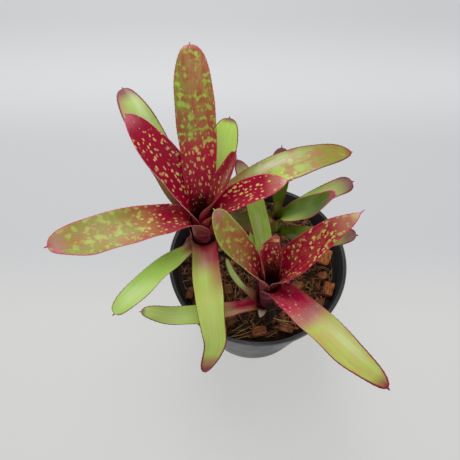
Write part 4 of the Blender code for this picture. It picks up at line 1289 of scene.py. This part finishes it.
def husk_material(name, colours, grain):
    """Broken husk, from dark to light by its tone, with wet patches and fine fibres along its grain."""
    dark, brown, orange = ((*tint, 1) for tint in colours)
    net = Net(name)
    tone = net.attribute("husk_tone", "Fac")
    place = net.attribute("husk_place")
    fibres = net.noise(net.scaled(place, grain), 3.0, roughness=0.6)
    patches = net.noise(net.scaled(place, (0.35, 0.35, 0.35)), 3.0)
    amount = net.maths("ADD", tone, net.maths("MULTIPLY", net.maths("SUBTRACT", patches, 0.5), 0.9))
    tint = net.blend(net.ramp(amount, 0.1, 0.55), dark, brown)
    tint = net.blend(net.ramp(amount, 0.55, 0.95), tint, orange)
    tint = net.shaded(tint, net.ramp(fibres, 0.32, 0.68, 0.4, 1.5))
    return net.finish(tint, 0.9, fibres, 0.8, 0.0006)


def make_husk(name, vertices, faces, material, nodes, tone, place=None):
    """A piece of husk with one tone, or a tone for each point, and the place that its pattern reads."""
    attributes = {"husk_tone": np.broadcast_to(tone, len(vertices)),
                  "husk_place": vertices if place is None else place}
    return make_piece(name, vertices, faces, material, nodes, attributes)


class BROMELIAD_OT_mix(bpy.types.Operator):
    """Makes the potting mix as a rough bed inside the pot"""

    bl_idname = "bromeliad.mix"
    bl_label = "Potting mix"

    def execute(self, context):
        settings = context.scene.bromeliad.mix
        turns = ring_of(MIX_SIDES)
        edge = inner_wall_radius(MIX_LEVEL) - MIX_GAP
        foot = inner_wall_radius(MIX_BOTTOM) - MIX_FOOT_GAP
        radii = np.linspace(0.7, edge, MIX_RINGS)
        x = radii[:, None] * np.cos(turns)
        y = radii[:, None] * np.sin(turns)
        drop = MIX_EDGE_DROP * smooth_step((radii - edge + MIX_EDGE) / MIX_EDGE)
        z = mix_height(x, y, settings) - drop[:, None]
        top = np.stack([x, y, z], -1).reshape(-1, 3)
        bottom = np.stack([foot * np.cos(turns), foot * np.sin(turns), np.full(MIX_SIDES, MIX_BOTTOM)], -1)
        vertices = np.concatenate([top, bottom, [[0.0, 0.0, z[0].mean()], [0.0, 0.0, MIX_BOTTOM]]])
        ring = np.arange(len(top)).reshape(-1, MIX_SIDES)
        after = np.roll(ring, -1, axis=1)
        centre, base = len(vertices) - 2, len(vertices) - 1
        low = np.arange(MIX_SIDES) + len(top)
        low_after = np.roll(low, -1)
        faces = faces_of(ring[:-1], ring[1:], after[1:], after[:-1])
        faces += faces_of(ring[-1], low, low_after, after[-1])
        faces += faces_of(np.full(MIX_SIDES, centre), ring[0], after[0])
        faces += faces_of(np.full(MIX_SIDES, base), low_after, low)
        colours = (settings.dark, settings.brown, settings.orange)
        material = husk_material("mix_bed", colours, (1.3, 1.3, 1.3))
        # Partly painted shade: the bed takes nearly the darkest tone, for its own wet husk and for the shaded
        # gaps between the crumbs
        make_husk("fine_potting_mix", vertices, faces, material, ["potting_mix"], 0.02)
        return {"FINISHED"}


def tumbles(draw, count, tilt):
    """Seeded turning matrices: any heading, tilted by up to the given angle about a level axis."""
    heading = draw.uniform(0.0, FULL_TURN, count)
    lean = np.radians(draw.uniform(-tilt, tilt, count))
    c, s = np.cos(heading), np.sin(heading)
    a, b = np.cos(lean), np.sin(lean)
    zero, one = np.zeros(count), np.ones(count)
    spin = np.stack([c, -s, zero, s, c, zero, zero, zero, one], -1).reshape(-1, 3, 3)
    tip = np.stack([one, zero, zero, zero, a, -b, zero, b, a], -1).reshape(-1, 3, 3)
    return spin @ tip


def block_grid(rows, columns, squareness):
    """A boxy closed ball of size 1: a superellipse carried round another, poles shared."""
    latitude = np.linspace(-0.5 * math.pi, 0.5 * math.pi, rows + 2)[1:-1, None]
    longitude = ring_of(columns)[None, :]

    def power(value):
        return np.sign(value) * np.abs(value) ** squareness

    x = power(np.cos(latitude)) * power(np.cos(longitude))
    y = power(np.cos(latitude)) * power(np.sin(longitude))
    z = power(np.sin(latitude)) * np.ones_like(longitude)
    points = np.concatenate([np.stack([x, y, z], -1).reshape(-1, 3), [[0, 0, -1], [0, 0, 1]]])
    ring = np.arange(rows * columns).reshape(rows, columns)
    after = np.roll(ring, -1, axis=1)
    low, high = rows * columns, rows * columns + 1
    faces = faces_of(ring[:-1], after[:-1], after[1:], ring[1:])
    faces += faces_of(np.full(columns, low), after[0], ring[0])
    faces += faces_of(np.full(columns, high), ring[-1], after[-1])
    return points, faces


def scattered(draw, count, reach, gap):
    """Seeded places on the mix, clear of every tube of sheaths by the gap."""
    out = reach * np.sqrt(draw.random(2 * count))
    turn = draw.uniform(0.0, FULL_TURN, 2 * count)
    x, y = out * np.cos(turn), out * np.sin(turn)
    clear = np.ones(len(x), bool)
    for rosette, radius in zip(ROSETTES, TUBE_CLEARANCES):
        clear &= np.hypot(x - rosette.x, y - rosette.y) > radius + gap
    keep = np.flatnonzero(clear)[:count]
    return x[keep], y[keep]


def all_faces(faces, count, step):
    """The faces of one shape repeated for each copy."""
    return [[corner + step * copy for corner in face] for copy in range(count) for face in faces]


class BROMELIAD_OT_crumbs(bpy.types.Operator):
    """Makes the loose crumbs of husk on the mix"""

    bl_idname = "bromeliad.crumbs"
    bl_label = "Crumbs"

    def execute(self, context):
        settings = context.scene.bromeliad.mix
        draw = np.random.default_rng(settings.seed + CRUMB_SEED)
        x, y = scattered(draw, settings.crumbs, CRUMB_REACH, -4.0)
        count = len(x)
        size = draw.uniform(0.8, 2.2, count) * draw.choice((0.6, 1.0, 1.4), count)
        scale = size[:, None] * draw.uniform((0.8, 0.5, 0.3), (1.5, 0.9, 0.6), (count, 3))
        points, faces = block_grid(3, 7, 0.55)
        jitter = draw.uniform(0.72, 1.1, (count, len(points), 1))
        shape = points[None] * jitter * scale[:, None]
        shape = np.einsum("nij,nkj->nki", tumbles(draw, count, 45.0), shape)
        z = mix_height(x, y, settings) + 0.3 * scale[:, 2] + draw.uniform(0.0, 0.8, count)
        vertices = (shape + np.stack([x, y, z], -1)[:, None]).reshape(-1, 3)
        tone = np.repeat(draw.beta(0.9, 1.9, count), len(points))
        colours = (settings.dark, settings.brown, settings.orange)
        material = husk_material("husk_crumb", colours, (0.9, 2.8, 2.8))
        faces = all_faces(faces, count, len(points))
        piece = make_husk("loose_crumbs", vertices, faces, material, [], tone)
        set_smooth(piece, False)
        return {"FINISHED"}


def broken_block(points, chip, number):
    """A chip's points about its middle: the block roughened by seeded waves, most of them along its grain."""
    draw = np.random.default_rng(CHIP_SEED + number)
    waves = draw.normal(0.0, 1.0, (CHIP_WAVES, 3))
    waves = waves * draw.choice((1.5, 3.0, 7.0, 15.0), (CHIP_WAVES, 1))
    waves[10:] = waves[10:] * np.array((0.25, 1.0, 1.0))
    phase = draw.uniform(0.0, 6.28, CHIP_WAVES)
    rough = np.sum(np.sin(points @ waves.T + phase) / np.linalg.norm(waves, axis=1) ** 0.75, -1)
    slant = 1.0 + 0.16 * draw.uniform(-1, 1) * points[:, :1]
    slant = slant + 0.16 * draw.uniform(-1, 1) * points[:, 1:2]
    shape = points * (0.84 + 0.055 * rough[:, None]) * slant
    return shape * (0.5 * np.array((chip.long, chip.wide, chip.high)))


class BROMELIAD_OT_chips(bpy.types.Operator):
    """Makes the sixteen broken chips of husk and bark"""

    bl_idname = "bromeliad.chips"
    bl_label = "Husk chips"

    def execute(self, context):
        settings = context.scene.bromeliad.mix
        colours = (settings.dark, settings.brown, settings.orange)
        material = husk_material("husk_chip", colours, (0.2, 1.1, 1.1))
        points, faces = block_grid(44, 72, 0.3)
        for number, chip in enumerate(HUSK_CHIPS, start=1):
            shape = broken_block(points, chip, number)
            cos, sin = math.cos(math.radians(chip.turn)), math.sin(math.radians(chip.turn))
            spin = np.array(((cos, -sin, 0), (sin, cos, 0), (0, 0, 1)))
            place = np.array((chip.x, chip.y, MIX_LEVEL + CHIP_LIFT + 0.5 * chip.high))
            node = f"husk_chip_{number:02d}"
            make_husk(f"fine_{node}", shape @ spin.T + place, faces, material, [node], chip.tone,
                      shape + CHIP_SHIFT * number)
        return {"FINISHED"}


def strands(paths, radii, sides):
    """Thin closed tubes along the paths of an (n, points, 3) array, tapered at both ends."""
    count, points = paths.shape[:2]
    tangent = unit(np.gradient(paths, axis=1))
    side = unit(np.cross(tangent, np.array((0.31, 0.17, 0.93))))
    up = np.cross(tangent, side)
    turns = ring_of(sides)
    taper = np.sqrt(np.clip(np.sin(np.linspace(0.06, math.pi - 0.06, points)), 0.05, 1.0))
    ring = np.cos(turns)[:, None] * side[:, :, None] + np.sin(turns)[:, None] * up[:, :, None]
    vertices = paths[:, :, None] + radii[:, None, None, None] * taper[None, :, None, None] * ring
    index = np.arange(points * sides).reshape(points, sides)
    after = np.roll(index, -1, axis=1)
    faces = faces_of(index[:-1], after[:-1], after[1:], index[1:])
    faces.append(index[0, ::-1].tolist())
    faces.append(index[-1].tolist())
    return vertices.reshape(-1, 3), all_faces(faces, count, points * sides)


def root_path(root, settings):
    """Points along a root, a parabola through its start, middle and end, lifted off the mix."""
    t = np.linspace(0.0, 1.0, FIBRE_POINTS)
    first, middle, last = (1.0 - t) * (1.0 - 2.0 * t), 4.0 * t * (1.0 - t), t * (2.0 * t - 1.0)
    x, y = (first * root.start[axis] + middle * root.middle[axis] + last * root.end[axis] for axis in (0, 1))
    z = mix_height(x, y, settings) + FIBRE_LIFT + root.rise * np.sin(math.pi * t)
    return np.stack([x, y, z], -1)


class BROMELIAD_OT_fibres(bpy.types.Operator):
    """Makes the loose fibres and the roots on the mix"""

    bl_idname = "bromeliad.fibres"
    bl_label = "Fibres and roots"

    def execute(self, context):
        settings = context.scene.bromeliad.mix
        draw = np.random.default_rng(settings.seed + FIBRE_SEED)
        x, y = scattered(draw, settings.fibres, FIBRE_REACH, 0.0)
        count = len(x)
        reach = draw.uniform(5.0, 20.0, count)
        heading = draw.uniform(0.0, FULL_TURN, count)
        bend = draw.normal(0.0, 1.1, count)
        step = np.linspace(-0.5, 0.5, FIBRE_POINTS)
        angle = heading[:, None] + bend[:, None] * step
        px = x[:, None] + np.cumsum(np.cos(angle), 1) * reach[:, None] / FIBRE_POINTS
        py = y[:, None] + np.cumsum(np.sin(angle), 1) * reach[:, None] / FIBRE_POINTS
        limit = CRUMB_REACH / np.maximum(np.hypot(px, py), CRUMB_REACH)
        px, py = px * limit, py * limit
        rise = draw.uniform(0.3, 2.6, count)[:, None] * np.cos(math.pi * step) ** 2
        paths = np.stack([px, py, mix_height(px, py, settings) + FIBRE_LIFT + rise], -1)
        paths = np.concatenate([paths, [root_path(root, settings) for root in ROOTS]])
        radii = np.concatenate([draw.uniform(0.09, 0.22, count), [root.radius for root in ROOTS]])
        tones = np.concatenate([draw.uniform(0.1, 1.1, count), [root.tone for root in ROOTS]])
        vertices, faces = strands(paths, radii, FIBRE_SIDES)
        colours = (settings.brown, settings.orange, settings.straw)
        material = husk_material("coir_fibre", colours, (0.8, 3.0, 3.0))
        make_husk("loose_fibres", vertices, faces, material, [],
                  np.repeat(tones, FIBRE_POINTS * FIBRE_SIDES))
        return {"FINISHED"}


def sweep_material(settings):
    """Painted light: bands of pale grey from front to back, lighter far back where the curve catches the
    light and near the front, and a painted glow that lights the sweep though it is no lamp and softens the
    shadows on it.
    """
    net = Net("pale_sweep")
    depth = net.split(net.add("TexCoord", output="Object"))[1]
    middle, far, farthest, near = (opaque(tone) for tone in SWEEP_PAINTED_LIGHT_TONES)
    tint = net.blend(net.ramp(depth, 0.18, 0.285), middle, far)
    tint = net.blend(net.ramp(depth, 0.285, 0.43), tint, farthest)
    tint = net.blend(net.ramp(depth, 0.08, -0.02), tint, near)
    # Painted light: the sweep glows with its own tint times the glow colour, which fills the shadows on it
    net.feed(net.shader.inputs["Emission Color"], net.blend(1.0, tint, (*settings.painted_glow, 1), "MULTIPLY"))
    net.shader.inputs["Emission Strength"].default_value = 1.0
    return net.finish(net.blend(1.0, tint, SWEEP_MATTE, "MULTIPLY"), 0.7)


def add_sweep(settings):
    """The floor, flat under the plant and curving up far behind it."""
    turn = np.radians(np.linspace(0.0, 80.0, 28))
    front = (-SWEEP_HALF, -1200.0, -400.0, 0.0)
    run = np.concatenate([front, SWEEP_FLAT + SWEEP_BEND * np.sin(turn)])
    rise = np.concatenate([np.zeros(len(front)), SWEEP_BEND * (1.0 - np.cos(turn))])
    across = np.linspace(-SWEEP_HALF, SWEEP_HALF, 11)
    grid = np.stack(np.broadcast_arrays(across[None, :], run[:, None], rise[:, None] - SWEEP_DROP), -1)
    index = np.arange(grid.shape[0] * grid.shape[1]).reshape(grid.shape[:2])
    faces = faces_of(index[:-1, :-1], index[:-1, 1:], index[1:, 1:], index[1:, :-1])
    sweep = add_object("sweep", grid.reshape(-1, 3), faces)
    set_smooth(sweep, True)
    sweep.data.materials.append(sweep_material(settings))


def add_lights(scene, settings):
    """The even light of the room, a large soft light above and a weak one in front."""
    world = bpy.data.worlds.new("room")
    world.use_nodes = True
    background = world.node_tree.nodes["Background"]
    background.inputs["Color"].default_value = (0.97, 0.98, 1.0, 1.0)
    background.inputs["Strength"].default_value = settings.sky
    scene.world = world
    lights = (("overhead", settings.overhead, (0.5, 1.2), (-0.15, 0.62, 1.0), (1.0, 0.985, 0.96)),
              ("front", settings.front, (0.9, 0.9), (0.5, -1.0, 0.9), (1.0, 0.97, 0.94)))
    for name, power, size, place, tint in lights:
        light = bpy.data.lights.new(name, "AREA")
        light.shape = "RECTANGLE"
        light.size, light.size_y = size
        light.energy = power
        light.color = tint
        lamp = bpy.data.objects.new(name, light)
        scene.collection.objects.link(lamp)
        lamp.location = place
        tilt = math.atan2(math.hypot(place[0], place[1]), place[2] - LAMP_AIM)
        lamp.rotation_euler = (tilt, 0.0, math.atan2(place[1], place[0]) + 0.5 * math.pi)


class BROMELIAD_OT_stage(bpy.types.Operator):
    """Makes the pale floor, the soft lights and the camera"""

    bl_idname = "bromeliad.stage"
    bl_label = "Stage"

    def execute(self, context):
        settings = context.scene.bromeliad.stage
        scene = context.scene
        scene.view_settings.view_transform = "Standard"
        add_sweep(settings)
        add_lights(scene, settings)
        camera = bpy.data.cameras.new("camera")
        camera.lens = settings.lens
        camera.sensor_width = SENSOR_WIDTH
        camera.clip_start = 0.01
        viewer = bpy.data.objects.new("camera", camera)
        scene.collection.objects.link(viewer)
        viewer.location = settings.camera_place
        viewer.rotation_euler = (settings.camera_tilt, 0.0, 0.0)
        scene.camera = viewer
        return {"FINISHED"}


OPERATORS = (BROMELIAD_OT_stage, BROMELIAD_OT_pot, BROMELIAD_OT_mix, BROMELIAD_OT_crumbs,
             BROMELIAD_OT_chips, BROMELIAD_OT_fibres, BROMELIAD_OT_stems, BROMELIAD_OT_mother,
             BROMELIAD_OT_daughter, BROMELIAD_OT_pup)


class BROMELIAD_PT_panel(bpy.types.Panel):
    """Lists the makers of the bromeliad's pieces and their settings"""

    bl_label = "Bromeliad"
    bl_idname = "BROMELIAD_PT_panel"
    bl_space_type = "VIEW_3D"
    bl_region_type = "UI"
    bl_category = "Bromeliad"

    def draw(self, context):
        for operator in OPERATORS:
            self.layout.operator(operator.bl_idname)
        settings = context.scene.bromeliad
        for group in (settings.leaf, settings.colours, settings.pot, settings.mix, settings.stage):
            box = self.layout.box()
            for key in type(group).__annotations__:
                box.prop(group, key)


CLASSES = (LeafSizes, LeafColours, PotSettings, MixSettings, StageSettings, BromeliadSettings,
           *OPERATORS, BROMELIAD_PT_panel)


def register():
    """Registers the classes and hangs the settings on the scene."""
    for item in CLASSES:
        bpy.utils.register_class(item)
    bpy.types.Scene.bromeliad = PointerProperty(type=BromeliadSettings)


def unregister():
    """Takes the settings and the classes away again."""
    del bpy.types.Scene.bromeliad
    for item in reversed(CLASSES):
        bpy.utils.unregister_class(item)


def main():
    """Makes every piece in order."""
    register()
    for operator in OPERATORS:
        group, name = operator.bl_idname.split(".")
        getattr(getattr(bpy.ops, group), name)()
    bpy.context.view_layer.update()


if __name__ == "__main__":
    main()
